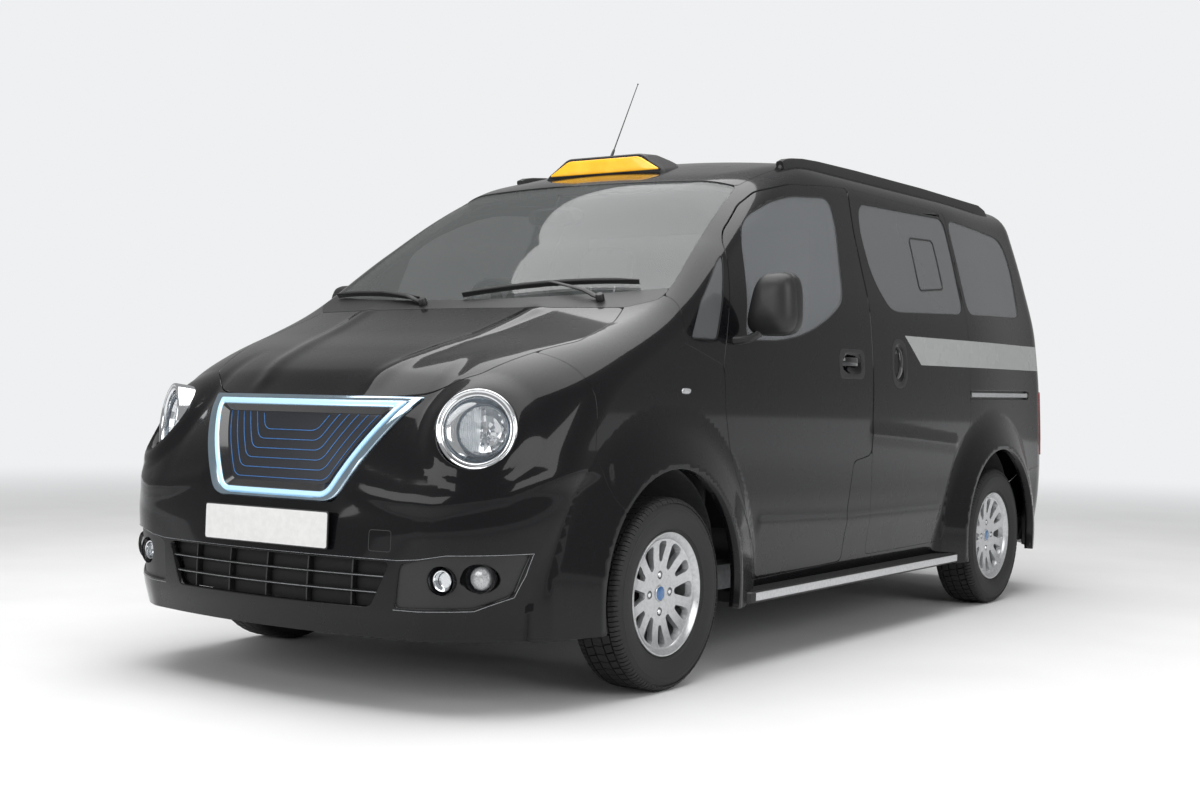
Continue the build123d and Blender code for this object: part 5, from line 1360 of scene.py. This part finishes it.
def superLoop(halfWide, halfHigh, power, count=40):
    return [(halfWide * math.copysign(abs(math.cos(t)) ** (2 / power), math.cos(t)),
             halfHigh * math.copysign(abs(math.sin(t)) ** (2 / power), math.sin(t)))
            for t in np.arange(count) * 2 * math.pi / count]


def mirrorRing(share, d, taper=0.30):
    # the housing narrows towards its top
    cx, cd, cz = mirrorSizes["place"]
    hw, hh = mirrorSizes["half"]
    return [(cx + x * share * (1 - taper * 0.5 * (z / hh + 1)) + 0.10 * (z + hh) * share, cd + d,
             cz + z * share)
            for x, z in superLoop(hw, hh, mirrorSizes["power"])]


def mirrorMiddle(d):
    cx, cd, cz = mirrorSizes["place"]
    return [(cx, cd + d, cz)]


housing = stackRings([mirrorMiddle(-57), mirrorRing(0.34, -55), mirrorRing(0.6, -50), mirrorRing(0.8, -40),
                      mirrorRing(0.91, -26), mirrorRing(0.965, -8), mirrorRing(0.985, 10),
                      mirrorRing(0.97, 13),
                      mirrorRing(0.97, 16), mirrorRing(0.99, 19), mirrorRing(0.99, 40), mirrorRing(0.97, 52),
                      mirrorRing(0.94, 57), mirrorRing(0.90, 56), mirrorRing(0.885, 46), mirrorMiddle(46)])
mirrorFace = stackRings([mirrorMiddle(45.5), mirrorRing(0.875, 45.5), mirrorRing(0.875, 49),
                         mirrorMiddle(50)])
footPath = [(812, 458, 1098), (846, 464, 1100), (880, 474, 1106), (906, 482, 1122), (918, 486, 1150)]
foot = sweep(footPath, (0, 0, 1), roundSection(14, 34, 16, 2.8), [1.2, 1.0, 0.92, 0.9, 0.9])
p = sideSheet["points"]
bezels = dict(front=([(1204, 984), (1416, 984), (1416, 1094), (1204, 1094)], 34,
                     [(1234, 1002), (1390, 1002), (1390, 1078),
                                                                                (1234, 1078)], 24),
              slide=([(1664, 952), (1806, 952), (1806, 1146), (1664, 1146)], 66,
                     [(1690, 974), (1780, 974), (1780, 1124),
                                                                                (1690, 1124)], 42))
frontBezel, slideBezel = (cutPanel(sideSheet, np.maximum(sideCut(p, outer, r0), -sideCut(p, inner, r1)), 5.0,
                                   1.2, -1.4)
                          for outer, r0, inner, r1 in bezels.values())
flipped = {"left": lambda panel: panel, "right": mirrorPanel}
for side, turned in (("left", lambda shape: shape), ("right", mirrored)):
    tag = side.title()
    solidPiece("mirrorHousing" + tag, turned(joined(housing, foot)), satinBlack, f"door_{side}", "black_trim",
               f"mirror_{side}", sharp=40)
    solidPiece("mirrorFace" + tag, turned(mirrorFace), chrome, f"door_{side}", "bright")

    path, normals = sideLine([(d, 1038) for d in np.linspace(1236, 1384, 15)])
    rise = np.array([-15, -8, 0, 5, 8, 9.5, 10, 10, 10, 9.5, 8, 5, 0, -8, -15.0])[:, None]
    cup, _ = sideLine([(1310, 1038)])
    base = cup[0][0] + 8
    path[:, 0] = base
    grip = sweep(path + np.array([1.0, 0, 0]) * rise + np.array([0, 0, 9.0]), (1, 0, 0),
                 roundSection(5, 17, 12, 3.0))
    lock = revolve([(0, 0), (9, 0), (9, 3), (7, 4.5), (0, 4.5)], (base - 14, 1392, 1038), (1, 0, 0), 24)
    solidPiece("doorHandle" + tag, turned(joined(grip, lock)), glossBlack, f"door_{side}", "black_trim",
               sharp=45)
    path = [(base + r, 1735, z) for z, r in zip(np.linspace(972, 1124, 15), rise[:, 0])]
    solidPiece("slidingDoorHandle" + tag, turned(sweep(path, (1, 0, 0), roundSection(5, 14, 12, 2.6))),
               glossBlack,
               "body", "black_trim", sharp=45)
    panelPiece("doorHandleBezel" + tag, flipped[side](frontBezel), [satinBlack, satinBlack], f"door_{side}",
               "black_trim")
    panelPiece("slidingHandleBezel" + tag, flipped[side](slideBezel), [satinBlack, satinBlack], "body",
               "black_trim")

print("window seals, runner, repeater and wipers")
sealSection = [(-1.0, -4.5), (-0.2, -2.5), (-0.4, 3.0), (-2.0, 4.5), (-9.0, 4.5), (-9.0, -4.5)]


def sealRound(outline, corner, section=sealSection):
    loop = finer(roundCorners(outline, corner, 8), 40)[:-1]
    path, normals = sideLine(loop)
    return sweep(path, normals, section, closed=True)


hopper = [(2046, 1580), (2291, 1588), (2280, 1378), (2027, 1358)]
hopperSection = [(-1.6, -3.0), (-1.2, 0), (-1.6, 3.0), (-4.6, 3.6), (-4.6, -3.6)]
fixedSeals = joined(sealRound(sliderWindow, 70), sealRound(quarterWindow, 70), sealRound(quarterlight, 24),
                    sealRound(hopper, 26, hopperSection))
solidPiece("windowSeals", bothSides(fixedSeals), satinBlack, "body", "black_trim", sharp=50)
doorSeal = sealRound(doorWindow, 60)
for side, shape in (("left", doorSeal), ("right", mirrored(doorSeal))):
    solidPiece("doorWindowSeal" + side.title(), shape, satinBlack, f"door_{side}", "black_trim", sharp=50)

p = sideSheet["points"]
trackBack = cutPanel(sideSheet, sideCut(p, trackOutline, 8) + 0.5, 6.0, 0.3, 15.0)
panelPiece("runnerRecess", joinPanels(trackBack, mirrorPanel(trackBack)), [satinBlack, satinBlack], "body",
           "black_trim")
path, normals = sideLine([(d, 928) for d in np.linspace(2476, 3248, 40)], -5)
runner = sweep(path, normals, [(3, -9), (3, 9), (0, 11), (-8, 11), (-8, -11), (0, -11)])
solidPiece("slidingDoorRunners", bothSides(runner), alloySilver, "body", "bright", sharp=40)

repeaterSizes = dict(station=129, height=929, halfLong=27, halfHigh=10)
(middle,), (normal,) = sideLine([(repeaterSizes["station"], repeaterSizes["height"])])
frameAxes = axisFrame(normal)


def ovalRing(share, h):
    return [middle + frameAxes[0] * x * share + frameAxes[1] * z * share + frameAxes[2] * h
            for x, z in superLoop(repeaterSizes["halfLong"], repeaterSizes["halfHigh"], 2.2, 28)]


repeater = stackRings([[middle + frameAxes[2] * -6], ovalRing(0.9, -6), ovalRing(0.9, 1), ovalRing(0.82, 3.5),
                       ovalRing(0.55, 5.5), [middle + frameAxes[2] * 6]])
repeaterRim = stackRings([ovalRing(1.0, -3), ovalRing(1.0, 1), ovalRing(0.96, 1.8), ovalRing(0.9, 1.2),
                          ovalRing(0.9, -3)],
                         True)
solidPiece("sideRepeaters", bothSides(repeater), ledGrey, "body", "amber_lens")
solidPiece("sideRepeaterRims", bothSides(repeaterRim), chrome, "body", "bright")

# each wiper: spindle x and d, then x and d of the blade's two ends
wiperPlaces = [(-120, -26, -690, 150, -150, -6), (560, 58, 30, 6, 640, 168)]
blades, arms = [], []
for px, pd, ax0, ad0, ax1, ad1 in wiperPlaces:
    ends = [(ax0 + (ax1 - ax0) * t, ad0 + (ad1 - ad0) * t) for t in np.linspace(0, 1, 24)]
    path, normals = topLine(ends)
    taper = np.clip(np.minimum(np.linspace(0, 1, 24), np.linspace(1, 0, 24)) * 9, 0.35, 1)
    blades.append(sweep(path + normals * 20, normals, roundSection(4.5, 7, 10, 2.4), taper))
    blades.append(sweep(path + normals * 10, normals,
                        [(8, -2.2), (8, 2.2), (2, 1.2), (-7, 0.8), (-7, -0.8), (2, -1.2)]))
    mx, md = (ax0 + ax1) / 2, (ad0 + ad1) / 2
    ends = [(px + (mx - px) * t, pd + (md - pd) * t) for t in np.linspace(0, 1, 18)]
    path, normals = topLine(ends)
    lift = np.interp(np.linspace(0, 1, 18), [0, 0.12, 0.3, 0.9, 1], [9, 12, 23, 24, 22])[:, None]
    arms.append(sweep(path + normals * lift, normals, roundSection(3.6, 8, 10, 3),
                      np.linspace(1.25, 0.62, 18)))
    arms.append(revolve([(0, 24), (11, 23), (14, 18), (15, 4), (15, -6), (0, -6)], path[0], normals[0], 24))
solidPiece("wiperBlades", joined(*blades), tyreBlack, "body", "black_trim", "wipers", sharp=40)
solidPiece("wiperArms", joined(*arms), satinBlack, "body", "black_trim", sharp=40)

print("sign, rails, antenna and steps")
signSections = [(866, 276, 1690, 1742, 172, 1818), (872, 280, 1690, 1750, 174, 1822),
                (1000, 262, 1690, 1775, 150, 1835),
                (1130, 200, 1725, 1788, 122, 1834), (1245, 134, 1758, 1802, 92, 1832),
                (1259, 122, 1762, 1796, 80, 1826)]
rings = [[(x, d, z) for x, z in roundCorners(bothHalves([(foot, low), (foot, shoulder), (head, high)]), 20,
        6)]
         for d, foot, low, shoulder, head, high in signSections]
signShape = stackRings([[(0, 866, 1750)], *rings, [(0, 1260, 1790)]])
solidPiece("signHousing", signShape, satinBlack, "body", "sign_case", "sign_housing", sharp=38)
lensRings = []
for share, d in ((1.0, 868), (1.0, 860), (0.985, 857.5), (0.93, 856.2), (0.5, 856.0)):
    loop = roundCorners(bothHalves([(258, 1756), (164, 1810)]), 16, 8)
    lensRings.append([(x * share, d, 1783 + (z - 1783) * share) for x, z in loop])
lensShape = stackRings([[(0, 868, 1783)], *lensRings, [(0, 856.0, 1783)]])
solidPiece("signLens", lensShape, amberLens, "body", "amber_lens", "sign_lens", sharp=50)
rimLoop = [(x * 1.02, 865.5, 1783 + (z - 1783) * 1.08) for x,
           z in roundCorners(bothHalves([(258, 1756), (164, 1810)]), 18, 8)]
signRim = sweep(rimLoop, (0, -1, 0), [(3.5, -2.5), (3.5, 2.5), (-2, 3.5), (-2, -3.5)], closed=True)
solidPiece("signLensRim", signRim, glossBlack, "body", "sign_case", sharp=50)

railLine = [(1132, 1786), (1160, 1797), (1212, 1806), (1300, 1815), (1427, 1820), (1754, 1823), (2400, 1822),
            (3045, 1812),
            (3120, 1795), (3146, 1774)]
railSection = [(9, -7), (9, 7), (7, 12), (0, 15), (-34, 16), (-34, -16), (0, -15), (7, -12)]
railShapes = [sweep(finer([(616, d, z) for d, z in railLine], 60), (0, 0, 1), railSection)]
for d in (1180, 1760, 2400, 3080):
    z = float(np.interp(d, *zip(*railLine)))
    path = [(616, d, z - 2), (616, d, z - 18), (616, d, z - 34)]
    railShapes.append(sweep(path, (1, 0, 0), roundSection(14, 46, 16, 2.8), [0.85, 1.0, 1.12]))
solidPiece("roofRails", bothSides(*railShapes), satinBlack, "body", "black_trim", "roof_rails", sharp=40)

foot, tip = np.array([0, 915, 1826.0]), np.array([0, 1090, 2134.0])
shares = [-0.04, 0.0, 0.02, 0.07, 0.09, 0.1, 0.4, 0.8, 0.992, 0.994, 1.0]
path = [foot + (tip - foot) * t for t in shares]
radii = [2.4, 2.4, 2.2, 2.0, 1.7, 1.0, 0.85, 0.7, 0.65, 1.2, 1.2]
mast = sweep(path, (0, -1, 1), roundSection(2.6, 2.6, 12), radii)
solidPiece("antennaMast", mast, satinBlack, "body", "black_trim", "antenna", sharp=60)

stepSizes = dict(start=490, end=2274, outer=889, low=220, high=261, ribs=6)
sz = stepSizes
stepSection = [(760, sz["low"]), (sz["outer"] - 8, sz["low"]), (sz["outer"], sz["low"] + 7),
               (sz["outer"], sz["high"] - 8),
               (sz["outer"] - 7, sz["high"] - 3), (760, sz["high"] - 3)]
rings = [[(x - cut * (x > 800), d, z) for x, z in stepSection] for d, cut in (
    (sz["start"], 26), (sz["start"] + 14, 7), (sz["start"] + 34, 0), (sz["end"] - 34, 0), (sz["end"] - 14, 7),
    (sz["end"], 26))]
points, faces = stackRings(rings)
stepBody = points, faces + [[0, 1, 2, 3, 4, 5], list(range(30, 36))[::-1]]
rib = prism([(-2.4, -1), (2.4, -1), (1.4, 2.6), (-1.4, 2.6)], ((1, 0, 0), (0, 0, 1), (0, 1, 0)), 0,
            sz["end"] - sz["start"] - 90,
            (815, sz["start"] + 45, sz["high"] - 3))
ribs = repeated("stepRibs", rib, sz["ribs"], satinBlack, step=(11, 0, 0))
stripPath = [(sz["outer"] - 1.2, d, 241) for d in np.linspace(sz["start"] + 36, sz["end"] - 36, 12)]
strip = sweep(stripPath, (1, 0, 0), [(0, -14), (1.6, -13), (1.9, 0), (1.6, 13), (0, 14), (-3, 14), (-3, -14)])
solidPiece("sideSteps", bothSides(stepBody, ribs), satinBlack, "body", "black_trim", "side_steps", sharp=30)
solidPiece("stepStrips", bothSides(strip), alloySilver, "body", "bright", sharp=40)

print("rear details")


def tailLine(half, count, z):
    # evenly spaced points across the tail at one height, with the normals there
    places = [(x, 3000.0, z) for x in np.linspace(-half, half, count)]
    hits = castSheet(np.array([places] * 2), np.broadcast_to([0.0, 1.0, 0.0], (2, count, 3)))
    return hits["points"][:count], hits["normals"][:count]


path, normals = tailLine(150, 25, 742.0)
solidPiece("tailgateHandle", sweep(path + normals * 1.0, normals, roundSection(6, 15, 14, 2.8)), satinBlack,
           "tailgate",
           "black_trim", sharp=40)
path, normals = tailLine(140, 15, 1706.0)
solidPiece("highBrakeLamp", sweep(path - normals * 0.5, normals, roundSection(3, 9, 12, 3)), redLens,
           "tailgate", "red_lens")

print("cabin and seats")
seatCloth = plainMaterial("seatLeather", (0.020, 0.020, 0.022), (0.032, 0.032, 0.034), (0.42, 0.6), 0.0, 210,
                          0.35, 0.0008,
                          Sheen_Weight=0.15)
headrestCloth = plainMaterial("headrestLeather", (0.16, 0.165, 0.17), (0.21, 0.215, 0.22), (0.45, 0.6), 0.0,
                              210, 0.3, 0.0008)
pipingMaterial = plainMaterial("seatPiping", (0.10, 0.10, 0.105), (0.14, 0.14, 0.145), (0.4, 0.55), 0.0, 300,
                               0.2)
cabinTrim = plainMaterial("cabinTrim", (0.022, 0.022, 0.024), (0.034, 0.034, 0.036), (0.5, 0.7), 0.0, 320,
                          0.3)
wheelLeather = plainMaterial("wheelLeather", (0.012, 0.012, 0.013), (0.022, 0.022, 0.023), (0.35, 0.5), 0.0,
                             380, 0.35)
floorSheet = plainMaterial("floorSheet", (0.035, 0.035, 0.037), (0.055, 0.055, 0.058), (0.55, 0.75), 0.0, 45,
                           0.3)
batteryCase = plainMaterial("batteryCase", (0.09, 0.095, 0.10), (0.15, 0.155, 0.16), (0.35, 0.55), 0.6, 30,
                            0.15)
castMetal = plainMaterial("castMetal", (0.16, 0.16, 0.165), (0.24, 0.24, 0.245), (0.4, 0.6), 0.8, 55, 0.3)

seatSizes = dict(voxel=0.008, pressure=4.0, frames=20, cap=0.012, piping=3.0)


def padForm(size, power=5.0, rings=14, count=56):
    # a rounded pad about the origin: width along x, length along d, thickness along z
    w, l, t = (s / 2 for s in size)
    stack = [[(0, 0, -t)]]
    for a in np.linspace(-math.pi / 2, math.pi / 2, rings)[1:-1]:
        share, height = abs(math.cos(a)) ** (2 / power), math.copysign(abs(math.sin(a)) ** (2 / power),
                math.sin(a))
        stack.append([(x * share, d * share, t * height) for x, d in superLoop(w, l, power, count)])
    return stackRings(stack + [[(0, 0, t)]])


def placed(shape, lean, place):
    # leans a shape back about the x axis, then moves it
    a = math.radians(lean)
    x, d, z = shape[0].T
    turned = np.stack([x, d * math.cos(a) - z * math.sin(a), d * math.sin(a) + z * math.cos(a)], axis=1)
    return turned + np.array(place, float), shape[1]


def stuffed(name, shape):
    # the pad swells under a little pressure, held to a cap, and comes back as a shape
    holder = holderOf(name, shape)
    remesh = holder.modifiers.new("remesh", "REMESH")
    remesh.mode, remesh.voxel_size = "VOXEL", seatSizes["voxel"]
    pad = holderOf(name + "Pad", evaluated(holder))
    rest = np.empty(len(pad.data.vertices) * 3)
    pad.data.vertices.foreach_get("co", rest)
    cloth = pad.modifiers.new("cloth", "CLOTH")
    cloth.settings.use_pressure, cloth.settings.uniform_pressure_force = True, seatSizes["pressure"]
    cloth.settings.effector_weights.gravity = 0.0
    cloth.point_cache.frame_start, cloth.point_cache.frame_end = 1, seatSizes["frames"]
    for frameNumber in range(1, seatSizes["frames"] + 1):
        bpy.context.scene.frame_set(frameNumber)
    points, faces = evaluated(pad)
    rest = rest.reshape(-1, 3) * 1000
    move = points - rest
    length = np.linalg.norm(move, axis=1, keepdims=True)
    cap = seatSizes["cap"] * 1000
    bpy.context.scene.frame_set(1)
    return rest + move * np.minimum(1.0, cap / np.maximum(length, 1e-6)), faces


def pipingOn(shape, loop):
    # piping laid along a loop of points outside the pad, drawn on to its surface
    tree = BVHTree.FromPolygons([Vector(p) for p in shape[0]], shape[1])
    hits = [tree.find_nearest(Vector(p)) for p in loop]
    path, normals = np.array([h[0] for h in hits]), np.array([h[1] for h in hits])
    for _ in range(3):
        path = (np.roll(path, 1, 0) + path * 2 + np.roll(path, -1, 0)) / 4
    return sweep(path, normals, roundSection(seatSizes["piping"], seatSizes["piping"], 8), closed=True)


def seatPad(size, lean, place, inset=0.80, power=5.0):
    # a pad with a piping loop on its upper face
    pad = padSims.setdefault((size, power), stuffed("pad", padForm(size, power)))
    loop = [(x * inset, d * inset, size[2] / 2 + 12) for x, d in superLoop(size[0] / 2, size[1] / 2, 6, 72)]
    piping = pipingOn(pad, loop)
    return placed(pad, lean, place), placed(piping, lean, place)


padSims = {}
seats = {
    "driver": dict(node="driver_seat", pads=[((470, 450, 110), 3, (-368, 1150, 722)),
            ((470, 560, 92), 80, (-368, 1348, 1045))],
                   rests=[((252, 165, 80), 82, (-368, 1420, 1440))], material=seatCloth),
    "folding": dict(node="folding_seats", pads=[((410, 520, 52), 90, (x, 1625, 920)) for x in (-370, 370)]
                    + [((400, 380, 44), 90, (x, 1672, 850)) for x in (-370, 370)], rests=[],
                    material=seatCloth),
    "bench": dict(node="rear_bench", pads=[((540, 430, 100), 6, (x, 2768, 770)) for x in (-276, 276)]
                  + [((540, 600, 88), 78, (x, 3050, 1080)) for x in (-276, 276)],
                  rests=[((236, 150, 70), 84, (x, 3135, 1455)) for x in (-370, 0, 370)], material=seatCloth)}
for name, seat in seats.items():
    pads, piping = zip(*[seatPad(*pad) for pad in seat["pads"]])
    piece = solidPiece(name + "SeatPads", joined(*pads), seat["material"], "body", "seat_cloth", seat["node"],
                       sharp=75)
    solidPiece(name + "SeatPiping", joined(*piping), pipingMaterial, "body", "seat_cloth", sharp=75)
    if seat["rests"]:
        rests = [seatPad(size, lean, place, 0.7, 4.0)[0] for size, lean, place in seat["rests"]]
        piece = solidPiece(name + "Headrests", joined(*rests),
                           headrestCloth if name == "driver" else seatCloth, "body",
                           "seat_cloth", sharp=75)
posts = [revolve([(0, 0), (6, 0), (6, 90), (0, 90)], (-368 + x, 1392, 1300), (0, 0.12, 1), 16) for x in (-60,
        60)]
posts += [revolve([(0, 0), (6, 0), (6, 80), (0, 80)], (c + x, 3120, 1345), (0, 0.05, 1), 16)
          for c in (-370, 0, 370) for x in (-50, 50)]
solidPiece("headrestPosts", joined(*posts), chrome, "body", "bright")
benchBase = prism([(2560, 366), (2560, 715), (2600, 728), (2960, 716), (3020, 1340), (3060, 1340),
                   (3110, 690), (3098, 366)],
                  ((0, 1, 0), (0, 0, 1), (1, 0, 0)), -468, 468)
solidPiece("benchFrame", benchBase, cabinTrim, "body", "cabin_trim", bevel=6)
seatBack = prism([(925, 646), (925, 668), (1340, 672), (1420, 1300), (1432, 1296), (1388, 700), (1336, 646)],
                 ((0, 1, 0), (0, 0, 1), (1, 0, 0)), -590, -146)
solidPiece("driverSeatShell", seatBack, cabinTrim, "body", "cabin_trim", bevel=5)
foldingShell = [prism(roundCorners([(x - 208, 648), (x + 208, 648), (x + 208, 1190), (x - 208, 1190)], 40, 6),
                      ((1, 0, 0), (0, 0, 1), (0, 1, 0)), 1562, 1600) for x in (-370, 370)]
solidPiece("foldingSeatShells", joined(*foldingShell), cabinTrim, "body", "cabin_trim", bevel=4)

dashSizes = dict(half=686, hood=(-368, 660, 1092))
dashLine = roundCorners([(340, 702), (636, 738), (696, 830), (688, 942), (600, 1060), (455, 1110),
                         (340, 1098)], 34, 6)
dash = prism(dashLine, ((0, 1, 0), (0, 0, 1), (1, 0, 0)), -dashSizes["half"], dashSizes["half"])
hx, hd, hz = dashSizes["hood"]
hood = stackRings([[(hx + x * s, hd + d, hz + z * s) for x, z in superLoop(150, 38, 2.6, 36)]
                   for s, d in ((0.6, -150), (0.95, -80), (1.0, -10), (1.0, 8), (0.93, 12), (0.9, -6))])
screenFace = plateShape(235, 140, 12, -8, 8, 676, 985, -14, 1)
vents = [plateShape(96, 58, 16, -6, 8, 690, 1000, -14, 1)]
solidPiece("dashboardPad", joined(dash, hood), cabinTrim, "body", "cabin_trim", "dashboard")
solidPiece("dashScreen", screenFace, glossBlack, "body", "cabin_trim", bevel=1.5)
sideVents = [moved(vents[0], (x, 0, 0)) for x in (-600, -185, 185, 600)]
solidPiece("dashVents", joined(*sideVents), satinBlack, "body", "cabin_trim", bevel=2)
rearView = stackRings([[(x * s, 560 + d, 1560 + z * s) for x, z in superLoop(122, 34, 3.2, 36)]
                       for s, d in ((0.7, -16), (0.96, -9), (1.0, 0), (1.0, 7), (0.95, 8))])
(stemTop,), _ = topLine([(0, 585)])
stem = sweep([(0, 556, 1572), (0, 562, 1600), stemTop + np.array([0, 0, -6])], (0, 1, 0),
             roundSection(5, 7, 10))
solidPiece("interiorMirror", joined(rearView, stem), satinBlack, "body", "cabin_trim", sharp=40)

print("finishes of the pieces that keep their solid shape")
kept = {"steering_wheel": wheelLeather, "driver_seat_frame": cabinTrim, "partition": cabinTrim,
        "partition_glass": screenGlass, "floor_pan": floorSheet, "battery_pack": batteryCase,
        "motor_block": castMetal,
        "front_subframe": darkSteel, "knuckle_left": castMetal, "knuckle_right": castMetal,
        "rear_axle": darkSteel}
for node, material in kept.items():
    holder = frame["nodes"][node]
    if not holder.data.materials:
        holder.data.materials.append(material)
    for slot in holder.material_slots:
        slot.material = material

# camera, floor and light
stageSizes = dict(floor=60.0, nearFloor=3.5, farFloor=13.0, backdrop=(0.86, 0.87, 0.88))
camera = bpy.data.cameras.new("camera")
camera.lens, camera.sensor_width, camera.sensor_fit = 48.65, 36.0, "HORIZONTAL"
camera.clip_end = 200
cameraObject = bpy.data.objects.new("camera", camera)
bpy.context.scene.collection.objects.link(cameraObject)
aim = dict(place=(3.5713, -5.5956, 0.9405), yaw=35.03, pitch=0.51, roll=0.93)
a, e, r = (math.radians(aim[k]) for k in ("yaw", "pitch", "roll"))
forward = Vector((-math.sin(a) * math.cos(e), math.cos(a) * math.cos(e), -math.sin(e)))
right = Vector((math.cos(a), math.sin(a), 0))
up = right.cross(forward)
acrossView, upView = right * math.cos(r) + up * math.sin(r), up * math.cos(r) - right * math.sin(r)
turn = Matrix((acrossView, upView, -forward)).transposed().to_4x4()
cameraObject.matrix_world = Matrix.Translation(aim["place"]) @ turn
bpy.context.scene.camera = cameraObject

# near the object the floor takes light and shadow, and far off it has the backdrop's own colour
floorMaterial, tree, shader = newMaterial("paleFloor", (0.8, 0.8, 0.8), 0.9)
varyColour(tree, shader, addNoise(tree, 1.2, 5), (0.78, 0.78, 0.78), (0.82, 0.82, 0.82))
coords, far = tree.nodes.new("ShaderNodeTexCoord"), tree.nodes.new("ShaderNodeVectorMath")
far.operation = "LENGTH"
fade, glow, blend = (tree.nodes.new("ShaderNode" + kind) for kind in ("MapRange", "Emission", "MixShader"))
fade.interpolation_type = "SMOOTHSTEP"
fade.inputs["From Min"].default_value = stageSizes["nearFloor"]
fade.inputs["From Max"].default_value = stageSizes["farFloor"]
glow.inputs["Color"].default_value = (*stageSizes["backdrop"], 1)
tree.links.new(coords.outputs["Object"], far.inputs[0])
tree.links.new(far.outputs["Value"], fade.inputs["Value"])
tree.links.new(fade.outputs["Result"], blend.inputs["Fac"])
tree.links.new(shader.outputs[0], blend.inputs[1])
tree.links.new(glow.outputs[0], blend.inputs[2])
tree.links.new(blend.outputs[0], tree.nodes["Material Output"].inputs["Surface"])
half = stageSizes["floor"] * 500
floorPiece = makeMesh("floor", [(-half, -half, 0), (half, -half, 0), (half, half, 0), (-half, half, 0)],
                      [[0, 1, 2, 3]], [floorMaterial])

world = bpy.context.scene.world or bpy.data.worlds.new("studio")
bpy.context.scene.world = world
world.use_nodes = True
tree = world.node_tree
tree.nodes.clear()
output, mixer = tree.nodes.new("ShaderNodeOutputWorld"), tree.nodes.new("ShaderNodeMixShader")
lit, seen, path = (tree.nodes.new(kind) for kind in ("ShaderNodeBackground", "ShaderNodeBackground",
        "ShaderNodeLightPath"))
lit.inputs["Color"].default_value, lit.inputs["Strength"].default_value = (1, 1, 1, 1), 0.34
seen.inputs["Color"].default_value, seen.inputs["Strength"].default_value = (*stageSizes["backdrop"], 1), 1.0
tree.links.new(path.outputs["Is Camera Ray"], mixer.inputs["Fac"])
tree.links.new(lit.outputs[0], mixer.inputs[1])
tree.links.new(seen.outputs[0], mixer.inputs[2])
tree.links.new(mixer.outputs[0], output.inputs[0])


def addSoftLight(name, place, size, energy, target=(0, 0, 0.8)):
    light = bpy.data.lights.new(name, "AREA")
    light.shape, light.size, light.size_y, light.energy = "RECTANGLE", size[0], size[1], energy
    holder = bpy.data.objects.new(name, light)
    bpy.context.scene.collection.objects.link(holder)
    holder.location = place
    holder.rotation_euler = (Vector(target) - Vector(place)).to_track_quat("-Z", "Y").to_euler()


addSoftLight("overheadSoftbox", (0, -0.5, 6.0), (7, 8), 520)
addSoftLight("sideSoftbox", (7.5, -2.0, 3.2), (5, 3), 150)
addSoftLight("frontSoftbox", (-1.5, -8.0, 3.0), (5, 3), 150)

bpy.context.scene.view_settings.view_transform = "Standard"
